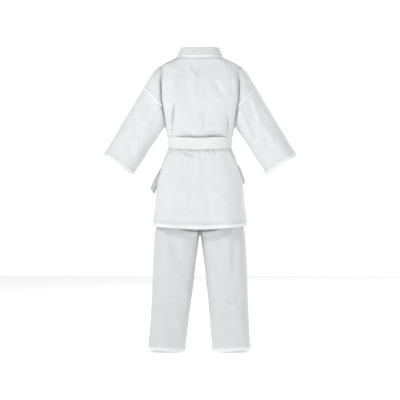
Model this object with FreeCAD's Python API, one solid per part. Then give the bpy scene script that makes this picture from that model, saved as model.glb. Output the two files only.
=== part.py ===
import FreeCAD, Part
import math
import os

# A child's martial arts uniform, seen standing up as it is worn: a wrap jacket,
# a tied belt and trousers. Millimetres, +Z up. The wearer faces -Y, so the
# wearer's left is +X. Z = 0 is the trousers' hem.

# ---- Cloth ----
CLOTH = 1.5            # one ply of the canvas
FOLDED = 2.6           # a folded hem or band
PLY_GAP = 0.5          # between two plies that lie on each other
MOVING_GAP = 0.6       # between two pieces that move past each other
CORNER_SHARE = 0.82    # corner radius of a body section, as a share of its half-depth

# ---- Heights, from the trousers' hem upwards ----
CROTCH_Z = 404.0
TROUSER_RISE = 324.0   # crotch to the top of the waistband
BELT_ABOVE_RISE = 1.0  # belt's centre above the top of the waistband
BELT_WIDTH = 40.0
BACK_LENGTH = 296.0    # belt's centre to the neck seam
SKIRT_LENGTH = 280.0   # belt's lower edge to the jacket's hem
COLLAR_HEIGHT = 37.0

WAISTBAND_TOP = CROTCH_Z + TROUSER_RISE
BELT_CENTRE_Z = WAISTBAND_TOP + BELT_ABOVE_RISE
BELT_TOP = BELT_CENTRE_Z + BELT_WIDTH / 2
BELT_BOTTOM = BELT_CENTRE_Z - BELT_WIDTH / 2
NECK_Z = BELT_CENTRE_Z + BACK_LENGTH
JACKET_HEM_Z = BELT_BOTTOM - SKIRT_LENGTH

# ---- Jacket ----
WAIST = (105.0, 74.0)          # half-width, half-depth of the jacket under the belt
BLOUSE = (WAIST[0] + 13.0, WAIST[1] + 10.0)    # where the cloth puffs out above the belt
BLOUSE_RISE = 8.0              # how far above the belt that is
CHEST = (150.0, 88.0)
CHEST_RISE = 0.28              # above the armpit, as a share of the back's length
SHOULDER = (152.0, 76.0)
SHOULDER_DROP = 0.18           # below the armhole's top, in the same way
SHOULDER_TOP = (133.0, 56.0)
NECK = (82.0, 50.0)
COLLAR_BASE_IN = 5.0           # how far the collar's base is inside the neck seam
NECK_TOP = (66.0, 44.0)        # top edge of the standing collar
COLLAR_FRONT = 26.0            # how far the collar's lower edge comes forward of the centre
COLLAR_SLOPE = 44.0            # of the collar's front ends, from level
OVERLAP = 62.0                 # how far each front crosses the centre at the belt
OVERLAP_FLARE = 12.0           # how much further it does so at the floor
LAPEL_WIDTH = 36.0
YOKE_DEPTH = 90.0              # how far the lining comes down from the neck seam
SKIRT_TOP = (WAIST[0] + 9.0, WAIST[1] + 8.0)
SKIRT_HEM = (163.0, 98.0)
HEM_LINE_REACH = 1.1           # how far out the hem line is drawn, against the skirt's width
SKIRT_FULLNESS = (14.0, 3.0)   # how far the skirt's middle stands out of its straight side
SKIRT_MIDDLE_Z = (BELT_BOTTOM + JACKET_HEM_Z) / 2
SKIRT_MIDDLE = ((SKIRT_TOP[0] + SKIRT_HEM[0]) / 2 + SKIRT_FULLNESS[0],
                (SKIRT_TOP[1] + SKIRT_HEM[1]) / 2 + SKIRT_FULLNESS[1])
VENT_GAP = 8.0
VENT_FACING = 12.0
HEM_BAND = 17.0
HEM_RISE = 6.0                 # the jacket's hem is higher at the sides

# ---- Sleeves: (x, z) of the left one, which the right one mirrors ----
ARMHOLE_TOP = (134.0, NECK_Z - 0.0743 * BACK_LENGTH)
ARMPIT = (121.0, NECK_Z - 0.770 * BACK_LENGTH)
SLEEVE_ANGLE = 31.0            # from straight down
SLEEVE_WIDTH = 120.0           # across the hem
SLEEVE_LENGTH = 275.0          # from the outer end of the seam to the hem
SLEEVE_HALF_DEPTH = 48.0
ARMHOLE_HALF_DEPTH = 62.0
ARMPIT_EASE = 4.0              # how far the trunk stands out of the armpit, before it is cut
SEAM_TOP = (196.0, NECK_Z - 0.348 * BACK_LENGTH)
SEAM_ANGLE = 46.0              # of the sleeve seam, from level
TAPE_WIDTH = 9.0
CAP = (ARMHOLE_TOP[0] + 32.0, ARMHOLE_TOP[1] - 30.0)    # where the shoulder's slope turns down
CAP_UNDER = 0.06               # shares of the way from the armpit to the hem's inner end
SEAM_UNDER = 0.14
ELBOW_UNDER = 0.5
ELBOW_OVER = 0.45              # share of the way from the seam to the hem's outer end
SEAM_FULLNESS = 3.0
ELBOW_HOLLOW = 2.0

# ---- Belt ----
BELT_PLY = 2.3
KNOT_WIDTH = 62.0
KNOT_HEIGHT = BELT_WIDTH + 4.0
KNOT_ENDS = 0.72               # the knot's width at its top and bottom, as a share
KNOT_FULL = (0.3, 0.7)         # between these shares of its height it is full width
KNOT_CORNER = 0.4              # corner radius as a share of its depth
TAIL_REACH = 162.0             # how far the tip is from the centre
TAIL_DROP = 140.0              # how far the tip is below the belt
TAIL_ROOM = 12.0               # between the tail and the fullest part of the front skirt
TAIL_BULGE = 2.4 * SKIRT_MIDDLE[0]    # radius of the tail's curve, seen from above
TAIL_THICKNESS = 4.4

# ---- Trousers ----
WAISTBAND_IN = 9.5             # from the jacket's waist in to the waistband
WAISTBAND = (WAIST[0] - WAISTBAND_IN, WAIST[1] - WAISTBAND_IN)
WAISTBAND_HEIGHT = 32.0
WAISTBAND_THICKNESS = 4.6
ELASTIC_HEIGHT = 24.0
ELASTIC_THICKNESS = 1.4
ELASTIC_GAP = 0.1
HIP_SHARE = 0.5                # the hip's place between the crotch and the waistband
HIP_IN = (33.0, 17.0)          # from the fullest part of the skirt in to the hip
HIP = (SKIRT_MIDDLE[0] - HIP_IN[0], SKIRT_MIDDLE[1] - HIP_IN[1])
SEAT_IN = (13.0, 30.0)         # from the jacket's hem in to the seat
SEAT = (SKIRT_HEM[0] - SEAT_IN[0], SKIRT_HEM[1] - SEAT_IN[1])
LEG_HEM = (65.0, 60.0)
LEG_CORNER = 54.0              # corner radius of the leg at the crotch
LEG_HEM_CORNER = 50.0
LEG_FLARE = 6.0                # how much wider the leg is at the crotch than at its pivot
FLARE_BELOW_HEM = 25.0         # the leg has that flare at least so far below the jacket's hem
LEG_HEM_CENTRE = 112.0
LEG_HEM_RISE = 10.0            # the trousers' hem is higher at its outer side
LEG_SPLIT = 2.5                # from the centre to a leg's inner side at the crotch
LEG_SWING = 25.0
PIVOT_ABOVE_CROTCH = 36.0
GUSSET_WIDTH = 23.0
GUSSET_RISE = 30.0             # how far the gusset goes up above the legs' pivot
GUSSET_SLOPE = 0.03            # how much steeper than the legs' sweep its underside is

WAISTBAND_BOTTOM = WAISTBAND_TOP - WAISTBAND_HEIGHT
LEG_PIVOT_Z = CROTCH_Z + PIVOT_ABOVE_CROTCH
FAR = 1500.0

V = FreeCAD.Vector


# ---- Plain shapes ----
def rounded(centre, across, up, half_across, half_up, corner):
    """Wire of a rectangle with round corners, in the plane of two unit directions."""
    corner = min(corner, half_across - 1, half_up - 1)
    straight = half_across - corner
    rise = half_up - corner
    reach = corner * math.sqrt(0.5)

    def at(a, b):
        return centre + across * a + up * b

    edges = []
    for turn in range(4):
        side = (1, -1, -1, 1)[turn]
        top = (1, 1, -1, -1)[turn]
        beside = at(side * half_across, top * rise)
        over = at(side * straight, top * half_up)
        middle = at(side * (straight + reach), top * (rise + reach))
        first, last = (beside, over) if turn % 2 == 0 else (over, beside)
        following = (at(-straight, half_up), at(-half_across, -rise),
                     at(straight, -half_up), at(half_across, rise))[turn]
        edges.append(Part.Arc(first, middle, last).toShape())
        edges.append(Part.LineSegment(last, following).toShape())
    return Part.Wire(edges)


def level(z, half_width, half_depth, grow=0.0, x=0.0):
    """Level body section at height z, grown outwards."""
    wide = half_width + grow
    deep = half_depth + grow
    corner = half_depth * CORNER_SHARE + grow
    return rounded(V(x, 0, z), V(1, 0, 0), V(0, 1, 0), wide, deep, corner)


def body(profile, grow=0.0):
    """Solid through level sections given as (z, half-width, half-depth)."""
    wires = [level(z, wide, deep, grow) for z, wide, deep in profile]
    return Part.makeLoft(wires, True, True)


def layer(profile, outside, thickness):
    """Shell of a body: its outer face is grown by outside, and it is that thick."""
    return body(profile, outside).cut(body(profile, outside - thickness))


def slab(point, normal, near, far):
    """Everything between two planes square to normal, at two distances from a point."""
    box = Part.makeBox(2 * FAR, 2 * FAR, far - near, V(-FAR, -FAR, near))
    box.Placement = FreeCAD.Placement(point, FreeCAD.Rotation(V(0, 0, 1), normal)).multiply(box.Placement)
    return box


def prism(points):
    """Everything in front of and behind an outline of (x, z) points."""
    corners = [V(x, -FAR, z) for x, z in points]
    face = Part.Face(Part.makePolygon(corners + corners[:1]))
    return face.extrude(V(0, 2 * FAR, 0))


def strip(start, end, width, side):
    """Prism of a straight band; side moves it square to its line, in half-widths."""
    along = V(end[0] - start[0], 0, end[1] - start[1])
    across = V(along.z, 0, -along.x).normalize() * (width / 2)
    low = across * (side - 1)
    high = across * (side + 1)
    corners = [(start[0] + p.x, start[1] + p.z) for p in (low, high)]
    corners += [(end[0] + p.x, end[1] + p.z) for p in (high, low)]
    return prism(corners)


def mirrored(shape):
    return shape.mirror(V(0, 0, 0), V(1, 0, 0))


def front(gap=0.0):
    return slab(V(0, -gap, 0), V(0, -1, 0), 0, FAR)


def back(gap=0.0):
    return slab(V(0, gap, 0), V(0, 1, 0), 0, FAR)


def between(low, high):
    return slab(V(0, 0, 0), V(0, 0, 1), low, high)


def biggest(shape):
    """The shape's main solid, without the specks that a cut can leave."""
    return max(shape.Solids, key=lambda solid: solid.Volume)


# ---- Jacket, above the belt ----
def trunk_profile():
    return [(BELT_BOTTOM,) + WAIST,
            (BELT_TOP + MOVING_GAP,) + WAIST,
            (BELT_TOP + BLOUSE_RISE,) + BLOUSE,
            (ARMPIT[1], ARMPIT[0] + ARMPIT_EASE, CHEST[1]),
            (ARMPIT[1] + CHEST_RISE * BACK_LENGTH,) + CHEST,
            (ARMHOLE_TOP[1] - SHOULDER_DROP * BACK_LENGTH,) + SHOULDER,
            (ARMHOLE_TOP[1],) + SHOULDER_TOP,
            (NECK_Z,) + NECK]


def armhole_normal():
    """Outward direction of the left armhole's plane."""
    along = V(ARMHOLE_TOP[0] - ARMPIT[0], 0, ARMHOLE_TOP[1] - ARMPIT[1])
    return V(along.z, 0, -along.x).normalize()


def inside_armholes():
    """The space between the two armholes' planes."""
    top = V(ARMHOLE_TOP[0], 0, ARMHOLE_TOP[1])
    left = slab(top, armhole_normal(), -2 * FAR, 0)
    return left.common(mirrored(left))


def front_edge(height):
    """x of the left front's edge at a height: it runs from the neck across the centre."""
    share = (NECK_Z - height) / (NECK_Z - BELT_CENTRE_Z)
    return NECK[0] - share * (NECK[0] + OVERLAP)


def left_front_outline():
    """All that lies to the left of the left front's edge, down to below the hem."""
    skirt_edge = -OVERLAP - OVERLAP_FLARE
    return prism([(NECK[0], NECK_Z + 1),
                  (front_edge(BELT_CENTRE_Z), BELT_CENTRE_Z),
                  (skirt_edge, -1),
                  (FAR, -1),
                  (FAR, NECK_Z + 1)])


def ply_outside(ply):
    """How far the outer face of a ply lies from the jacket's outer face: ply 0 is the outermost."""
    return -ply * (CLOTH + PLY_GAP)


def back_panel():
    shell = layer(trunk_profile(), ply_outside(0), CLOTH)
    return biggest(shell.common(inside_armholes()).common(back(PLY_GAP / 2)))


def shoulder_yoke():
    lining = layer(trunk_profile(), ply_outside(1), CLOTH)
    lining = lining.common(inside_armholes()).common(back(PLY_GAP / 2))
    return biggest(lining.common(between(NECK_Z - YOKE_DEPTH, NECK_Z - PLY_GAP)))


def front_panel(ply):
    shell = layer(trunk_profile(), ply_outside(ply), CLOTH)
    shell = shell.common(inside_armholes()).common(front(PLY_GAP / 2))
    return biggest(shell.common(left_front_outline()))


def lapel(ply):
    """Band along a front's edge, from the neck to the belt."""
    shell = layer(trunk_profile(), ply_outside(ply) + FOLDED + PLY_GAP, FOLDED)
    start = (front_edge(NECK_Z), NECK_Z)
    end = (front_edge(BELT_CENTRE_Z), BELT_CENTRE_Z)
    band = strip(start, end, LAPEL_WIDTH, -1)
    band = shell.common(band).common(front(PLY_GAP / 2))
    return biggest(band.common(between(BELT_TOP + BLOUSE_RISE + PLY_GAP, NECK_Z)))


def collar_profile(grow):
    low = NECK_Z + PLY_GAP
    return [(low, NECK[0] - COLLAR_BASE_IN + grow, NECK[1] + grow),
            (NECK_Z + COLLAR_HEIGHT, NECK_TOP[0] + grow, NECK_TOP[1] + grow)]


def collar_cut():
    """The collar stands behind the neck and slopes down to the fronts at its sides."""
    turn = math.radians(COLLAR_SLOPE)
    return slab(V(0, -COLLAR_FRONT, NECK_Z), V(0, -math.sin(turn), math.cos(turn)), -2 * FAR, 0)


def collar_band():
    thick = 3 * CLOTH + 2 * PLY_GAP
    ring = layer(collar_profile(0), 0, thick).common(collar_cut())
    inset = CLOTH + PLY_GAP
    pocket = layer(collar_profile(0), -inset + PLY_GAP / 2, thick - 2 * inset + PLY_GAP)
    room = between(NECK_Z + 2 * inset, NECK_Z + COLLAR_HEIGHT - 2 * inset)
    return biggest(ring.cut(pocket.common(room).common(back(PLY_GAP))))


def collar_core():
    inset = CLOTH + PLY_GAP
    core = layer(collar_profile(0), -inset, CLOTH)
    low = NECK_Z + 2 * inset + PLY_GAP / 2
    high = NECK_Z + COLLAR_HEIGHT - 2 * inset - PLY_GAP / 2
    return biggest(core.common(between(low, high)).common(back(1.5 * PLY_GAP)))


# ---- Sleeves, made for the left side ----
def arm_section(top, bottom, half_depth, grow):
    """Section through the sleeve in the plane that holds two (x, z) points and Y."""
    high = V(top[0], 0, top[1])
    low = V(bottom[0], 0, bottom[1])
    up = (high - low).normalize()
    half_height = (high - low).Length / 2 + grow
    deep = half_depth + grow
    corner = half_depth * CORNER_SHARE + grow
    return rounded((high + low) * 0.5, V(0, 1, 0), up, deep, half_height, corner)


def sleeve_direction():
    turn = math.radians(SLEEVE_ANGLE)
    return V(math.sin(turn), 0, -math.cos(turn))


def sleeve_hem_points():
    """Outer and inner end of the sleeve's hem."""
    run = sleeve_direction()
    outer = V(SEAM_TOP[0], 0, SEAM_TOP[1]) + run * SLEEVE_LENGTH
    inner = outer + V(run.z, 0, -run.x) * SLEEVE_WIDTH
    return (outer.x, outer.z), (inner.x, inner.z)


def part_way(start, end, share):
    return (start[0] + (end[0] - start[0]) * share, start[1] + (end[1] - start[1]) * share)


def arm(grow):
    """Solid of the drop shoulder and sleeve, from the armhole to the hem."""
    outer, inner = sleeve_hem_points()
    middle_depth = (ARMHOLE_HALF_DEPTH + SLEEVE_HALF_DEPTH) / 2
    wires = [arm_section(ARMHOLE_TOP, ARMPIT, ARMHOLE_HALF_DEPTH, grow),
             arm_section(CAP, part_way(ARMPIT, inner, CAP_UNDER), ARMHOLE_HALF_DEPTH, grow),
             arm_section(SEAM_TOP, part_way(ARMPIT, inner, SEAM_UNDER), middle_depth + SEAM_FULLNESS, grow),
             arm_section(part_way(SEAM_TOP, outer, ELBOW_OVER), part_way(ARMPIT, inner, ELBOW_UNDER),
                         middle_depth - ELBOW_HOLLOW, grow),
             arm_section(outer, inner, SLEEVE_HALF_DEPTH, grow)]
    return Part.makeLoft(wires, True, True)


def arm_layer(outside, thickness):
    shell = arm(outside).cut(arm(outside - thickness))
    top = V(ARMHOLE_TOP[0], 0, ARMHOLE_TOP[1])
    return shell.common(slab(top, armhole_normal(), MOVING_GAP, 2 * FAR))


def seam_slab(near, far):
    """Slice of the sleeve beside its seam; distances count towards the hem."""
    turn = math.radians(SEAM_ANGLE)
    return slab(V(SEAM_TOP[0], 0, SEAM_TOP[1]), V(math.sin(turn), 0, -math.cos(turn)), near, far)


def hem_slab(near, far):
    """Slice of the sleeve beside its hem; distances count back up the sleeve."""
    outer = sleeve_hem_points()[0]
    return slab(V(outer[0], 0, outer[1]), -sleeve_direction(), near, far)


def drop_shoulder():
    return biggest(arm_layer(0, CLOTH).common(seam_slab(-2 * FAR, -PLY_GAP / 2)))


def sleeve():
    tube = arm_layer(0, CLOTH).common(seam_slab(PLY_GAP / 2, 2 * FAR))
    return biggest(tube.common(hem_slab(HEM_BAND + PLY_GAP / 2, 2 * FAR)))


def seam_tape():
    tape = arm_layer(CLOTH + PLY_GAP / 2, CLOTH)
    return biggest(tape.common(seam_slab(-TAPE_WIDTH / 2, TAPE_WIDTH / 2)))


def sleeve_hem():
    return biggest(arm_layer(FOLDED - CLOTH, FOLDED).common(hem_slab(0, HEM_BAND)))


# ---- Jacket, below the belt ----
def skirt_profile():
    top = BELT_BOTTOM - MOVING_GAP
    return [(top,) + SKIRT_TOP, (SKIRT_MIDDLE_Z,) + SKIRT_MIDDLE, (JACKET_HEM_Z,) + SKIRT_HEM]


def above_hem(distance):
    """The space above the jacket's hem line, which rises to the sides."""
    low = JACKET_HEM_Z + distance
    side = HEM_LINE_REACH * max(SKIRT_HEM[0], SKIRT_MIDDLE[0])
    corner = low + HEM_RISE
    return prism([(0, low), (side, corner), (side, BELT_TOP), (-side, BELT_TOP), (-side, corner)])


def skirt_shell(ply):
    return layer(skirt_profile(), ply_outside(ply), CLOTH).common(above_hem(HEM_BAND + PLY_GAP))


def skirt_band(ply):
    band = layer(skirt_profile(), ply_outside(ply), FOLDED).common(above_hem(0))
    return band.cut(above_hem(HEM_BAND))


def back_skirt():
    return biggest(skirt_shell(0).common(back(VENT_GAP / 2)))


def back_hem():
    return biggest(skirt_band(0).common(back(VENT_GAP / 2)))


def back_vent_facings():
    """Folded edges of the back panel beside the two side vents."""
    facing = layer(skirt_profile(), ply_outside(1), CLOTH).common(above_hem(HEM_BAND + PLY_GAP))
    return facing.common(slab(V(0, 0, 0), V(0, 1, 0), VENT_GAP / 2, VENT_GAP / 2 + VENT_FACING))


def front_skirt(ply):
    return biggest(skirt_shell(ply).common(front(VENT_GAP / 2)).common(left_front_outline()))


def front_hem(ply):
    return biggest(skirt_band(ply).common(front(VENT_GAP / 2)).common(left_front_outline()))


# ---- Belt ----
def belt_wrap(turn):
    """One turn of the belt round the waist; turn 0 lies on the jacket."""
    outside = PLY_GAP + BELT_PLY + turn * (BELT_PLY + PLY_GAP)
    profile = [(BELT_BOTTOM,) + WAIST, (BELT_TOP,) + WAIST]
    return layer(profile, outside, BELT_PLY)


def belt_face():
    """How far the belt's outer face is in front of the centre."""
    return WAIST[1] + 2 * (PLY_GAP + BELT_PLY)


def tail_top():
    """Height of the tails' upper end, which is the axis that they and the front skirt swing about."""
    return BELT_BOTTOM - MOVING_GAP


def tail_back():
    """How far in front of the centre the tails' inner face is, at the middle."""
    return SKIRT_MIDDLE[1] + TAIL_ROOM


def belt_knot():
    near = belt_face() + PLY_GAP
    deep = tail_back() + TAIL_THICKNESS - near
    low = BELT_CENTRE_Z - KNOT_HEIGHT / 2
    wires = []
    for share, narrow in ((0.0, KNOT_ENDS), (KNOT_FULL[0], 1.0), (KNOT_FULL[1], 1.0), (1.0, KNOT_ENDS)):
        place = V(0, -near - deep / 2, low + share * KNOT_HEIGHT)
        half = KNOT_WIDTH / 2 * narrow
        wires.append(rounded(place, V(1, 0, 0), V(0, 1, 0), half, deep / 2, deep * KNOT_CORNER))
    block = Part.makeLoft(wires, True, True)
    return block.common(between(tail_top() + MOVING_GAP, FAR))


def belt_tail():
    """Left end of the belt: it splays from the knot and curves round the front skirt."""
    centre = V(0, TAIL_BULGE - tail_back(), 0)
    ring = Part.makeCylinder(TAIL_BULGE + TAIL_THICKNESS, 2 * FAR, centre - V(0, 0, FAR))
    ring = ring.cut(Part.makeCylinder(TAIL_BULGE, 2 * FAR, centre - V(0, 0, FAR)))
    start = (-BELT_WIDTH / 4, BELT_BOTTOM + BELT_WIDTH / 2)
    tip = (TAIL_REACH, BELT_BOTTOM - TAIL_DROP)
    band = ring.common(strip(start, tip, BELT_WIDTH, 0)).common(front())
    band = band.common(slab(V(PLY_GAP, 0, 0), V(1, 0, 0), 0, FAR))
    return band.common(between(-1, tail_top() - 2 * MOVING_GAP))


# ---- Trousers ----
def hip_height():
    return CROTCH_Z + TROUSER_RISE * HIP_SHARE


def trouser_profile():
    return [(LEG_PIVOT_Z,) + SEAT,
            (hip_height(),) + HIP,
            (WAISTBAND_BOTTOM,) + WAISTBAND]


def waistband():
    profile = [(WAISTBAND_BOTTOM + PLY_GAP,) + WAISTBAND, (WAISTBAND_TOP,) + WAISTBAND]
    band = layer(profile, 0, WAISTBAND_THICKNESS)
    pocket = layer(profile, -CLOTH, WAISTBAND_THICKNESS - 2 * CLOTH)
    middle = (WAISTBAND_BOTTOM + WAISTBAND_TOP) / 2
    half = ELASTIC_HEIGHT / 2 + PLY_GAP
    return band.cut(pocket.common(between(middle - half, middle + half)))


def waist_elastic():
    profile = [(WAISTBAND_BOTTOM + PLY_GAP,) + WAISTBAND, (WAISTBAND_TOP,) + WAISTBAND]
    ring = layer(profile, -CLOTH - ELASTIC_GAP, ELASTIC_THICKNESS)
    middle = (WAISTBAND_BOTTOM + WAISTBAND_TOP) / 2
    return ring.common(between(middle - ELASTIC_HEIGHT / 2, middle + ELASTIC_HEIGHT / 2))


def swing_radius():
    """Radius of the leg's round top: it keeps the leg's walls inside it at the end of its swing."""
    return SEAT[1] / math.cos(math.radians(LEG_SWING)) + MOVING_GAP


def swing_drum(radius):
    start = V(-FAR, 0, LEG_PIVOT_Z)
    return Part.makeCylinder(radius, 2 * FAR, start, V(1, 0, 0))


def seat_left():
    shell = layer(trouser_profile(), 0, CLOTH)
    shell = shell.cut(swing_drum(swing_radius() + MOVING_GAP)).common(between(LEG_PIVOT_Z, FAR))
    return biggest(shell.common(slab(V(PLY_GAP / 2, 0, 0), V(1, 0, 0), 0, FAR)))


def leg_full_height():
    """The leg has its whole flare at the crotch, or lower where the jacket hangs lower."""
    return min(CROTCH_Z, JACKET_HEM_Z - FLARE_BELOW_HEM)


def leg_profile_solid(grow):
    """Solid of the left leg from above its pivot to the hem."""
    top = LEG_PIVOT_Z + swing_radius()
    hip_z = hip_height()
    narrowing = (SEAT[0] - HIP[0]) * (top - LEG_PIVOT_Z) / (hip_z - LEG_PIVOT_Z)
    sections = [(top, LEG_SPLIT, SEAT[0] - narrowing, SEAT[1], LEG_CORNER),
                (LEG_PIVOT_Z, LEG_SPLIT, SEAT[0], SEAT[1], LEG_CORNER),
                (leg_full_height(), LEG_SPLIT, SEAT[0] + LEG_FLARE, SEAT[1], LEG_CORNER),
                (0.0, LEG_HEM_CENTRE - LEG_HEM[0], LEG_HEM_CENTRE + LEG_HEM[0], LEG_HEM[1], LEG_HEM_CORNER)]
    wires = [rounded(V((inner + outer) / 2, 0, z), V(1, 0, 0), V(0, 1, 0),
                     (outer - inner) / 2 + grow, deep + grow, corner + grow)
             for z, inner, outer, deep, corner in sections]
    return Part.makeLoft(wires, True, True)


def leg_layer(outside, thickness):
    shell = leg_profile_solid(outside).cut(leg_profile_solid(outside - thickness))
    below = between(-1, LEG_PIVOT_Z)
    drum = swing_drum(swing_radius()).common(between(LEG_PIVOT_Z - 1, FAR))
    shell = shell.common(below.fuse(drum))
    middle = GUSSET_WIDTH / 2 + MOVING_GAP
    fork = Part.makeBox(2 * middle, 2 * FAR, FAR, V(-middle, -FAR, CROTCH_Z))
    return shell.cut(fork)


def leg_hem_slab(near, far):
    """Slice of the left leg beside its hem line, which rises to the outside."""
    start = V(LEG_HEM_CENTRE - LEG_HEM[0], 0, 0)
    turn = math.atan(LEG_HEM_RISE / (2 * LEG_HEM[0]))
    return slab(start, V(-math.sin(turn), 0, math.cos(turn)), near, far)


def leg():
    return biggest(leg_layer(0, CLOTH).common(leg_hem_slab(HEM_BAND + PLY_GAP / 2, FAR)))


def leg_hem():
    return biggest(leg_layer(FOLDED - CLOTH, FOLDED).common(leg_hem_slab(0, HEM_BAND)))


def crotch_gusset():
    """Strip that runs front to back between the legs, above the sweep of their inner sides."""
    slope = math.tan(math.radians(LEG_SWING)) + GUSSET_SLOPE
    low = CROTCH_Z + 2 * MOVING_GAP
    deep = SEAT[1] - CLOTH - PLY_GAP
    top = LEG_PIVOT_Z + GUSSET_RISE
    under = [V(0, -deep, top), V(0, -deep, low + deep * slope), V(0, 0, low), V(0, deep, low + deep * slope),
             V(0, deep, top)]
    over = [V(0, deep - CLOTH, top), V(0, deep - CLOTH, low + deep * slope + CLOTH), V(0, 0, low + 2 * CLOTH),
            V(0, CLOTH - deep, low + deep * slope + CLOTH), V(0, CLOTH - deep, top)]
    outline = under + over
    face = Part.Face(Part.makePolygon(outline + outline[:1]))
    strip_solid = face.extrude(V(GUSSET_WIDTH, 0, 0))
    strip_solid.translate(V(-GUSSET_WIDTH / 2, 0, 0))
    return strip_solid


def make_all():
    pieces = {
        "back_panel": back_panel(),
        "shoulder_yoke": shoulder_yoke(),
        "front_panel_left": front_panel(0),
        "front_panel_right": mirrored(front_panel(3)),
        "lapel_left": lapel(0),
        "lapel_right": mirrored(lapel(3)),
        "collar_band": collar_band(),
        "collar_core": collar_core(),
        "back_skirt": back_skirt(),
        "back_hem": back_hem(),
        "back_vent_facings": back_vent_facings(),
        "front_skirt_left": front_skirt(0),
        "front_skirt_right": mirrored(front_skirt(2)),
        "front_hem_left": front_hem(0),
        "front_hem_right": mirrored(front_hem(2)),
        "belt_wrap_inner": belt_wrap(0),
        "belt_wrap_outer": belt_wrap(1),
        "belt_knot": belt_knot(),
        "waistband": waistband(),
        "waist_elastic": waist_elastic(),
        "crotch_gusset": crotch_gusset(),
    }
    paired = {
        "drop_shoulder": drop_shoulder(),
        "sleeve": sleeve(),
        "sleeve_hem": sleeve_hem(),
        "sleeve_seam_tape": seam_tape(),
        "belt_tail": belt_tail(),
        "seat": seat_left(),
        "leg": leg(),
        "leg_hem": leg_hem(),
    }
    for name, shape in paired.items():
        pieces[name + "_left"] = shape
        pieces[name + "_right"] = mirrored(shape)
    return pieces


os.makedirs("parts", exist_ok=True)
for name, shape in make_all().items():
    shape.exportStep("parts/" + name + ".step")
    box = shape.BoundBox
    print(f"{name:22s} solids {len(shape.Solids)} valid {shape.isValid()} cm3 {shape.Volume / 1000:8.2f}"
          f"  x {box.XMin:7.1f} {box.XMax:7.1f}  y {box.YMin:7.1f} {box.YMax:7.1f}"
          f"  z {box.ZMin:7.1f} {box.ZMax:7.1f}")
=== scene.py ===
import math

import bpy
import numpy as np
from bpy.props import FloatProperty, FloatVectorProperty, IntProperty, PointerProperty
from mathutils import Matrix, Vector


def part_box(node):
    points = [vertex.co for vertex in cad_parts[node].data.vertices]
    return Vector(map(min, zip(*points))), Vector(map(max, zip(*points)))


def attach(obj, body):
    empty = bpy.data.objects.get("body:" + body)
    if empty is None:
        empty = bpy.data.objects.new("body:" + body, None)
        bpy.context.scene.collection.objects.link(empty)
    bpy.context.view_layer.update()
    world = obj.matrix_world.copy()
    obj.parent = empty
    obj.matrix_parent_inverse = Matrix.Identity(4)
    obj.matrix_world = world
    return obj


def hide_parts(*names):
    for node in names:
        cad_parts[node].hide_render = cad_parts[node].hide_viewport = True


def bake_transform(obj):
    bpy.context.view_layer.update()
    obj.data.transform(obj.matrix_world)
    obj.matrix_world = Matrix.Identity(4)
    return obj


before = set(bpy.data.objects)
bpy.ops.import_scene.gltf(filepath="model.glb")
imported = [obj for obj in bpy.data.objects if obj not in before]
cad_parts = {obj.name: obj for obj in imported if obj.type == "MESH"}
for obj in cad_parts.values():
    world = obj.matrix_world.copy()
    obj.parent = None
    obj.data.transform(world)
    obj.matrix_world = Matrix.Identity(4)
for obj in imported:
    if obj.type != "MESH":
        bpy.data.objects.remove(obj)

bl_info = {
    "name": "Martial Arts Uniform",
    "version": (1, 0, 0),
    "blender": (4, 5, 0),
    "location": "3D View > Sidebar > Uniform",
    "description": "Builds the cloth of a child's wrap jacket, tied belt and trousers on the frame's bodies",
    "category": "Object",
}

# Datums of the frame, in metres. The wearer faces -Y and the wearer's left is +X.
BELT_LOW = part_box("belt_wrap_outer")[0].z
BELT_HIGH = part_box("belt_wrap_outer")[1].z
BELT_HALF = (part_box("belt_wrap_outer")[1].x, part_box("belt_wrap_outer")[1].y)
NECK_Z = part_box("back_panel")[1].z
HEM_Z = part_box("back_hem")[0].z
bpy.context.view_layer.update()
MM = 0.001

# Points inside the trunk and the skirt, from which their faces look outwards
TRUNK_CORE = (0, 0, 0.88)
SKIRT_CORE = (0, 0, 0.57)


# ---- Property groups ----
class UniformSizes(bpy.types.PropertyGroup):
    """Sizes of the cloth, its seams and its folds."""

    cloth: FloatProperty(name="Cloth", description="Thickness of one ply", default=0.0013, unit="LENGTH")
    folded: FloatProperty(name="Folded edge", description="Thickness of a hem or lapel",
                          default=0.0026, unit="LENGTH")
    collar: FloatProperty(name="Collar", description="Thickness of the collar band",
                          default=0.0042, unit="LENGTH")
    belt: FloatProperty(name="Belt", description="Thickness of one turn of the belt",
                        default=0.0023, unit="LENGTH")
    hem: FloatProperty(name="Hem", description="Depth of every hem", default=0.017, unit="LENGTH")
    tape: FloatProperty(name="Seam tape", description="Width of the sleeves' seam tape",
                        default=0.0095, unit="LENGTH")
    overlap: FloatProperty(name="Overlap", description="How far each front crosses the centre at the belt",
                           default=0.062, unit="LENGTH")
    mesh: FloatProperty(name="Mesh", description="Distance between two rows of vertices",
                        default=0.0036, unit="LENGTH")
    folds: FloatProperty(name="Folds", description="Depth of the folds, as a share", default=1.0)
    ripples: FloatProperty(name="Ripples", description="Depth of the small ripples, as a share", default=1.0)
    thread: FloatProperty(name="Thread", description="Distance between two threads of the weave",
                          default=0.0011, unit="LENGTH")
    stitch: FloatProperty(name="Stitch", description="Length of one stitch", default=0.0032, unit="LENGTH")
    belt_rows: IntProperty(name="Belt rows", description="Rows of stitching along the belt", default=8)


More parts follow.
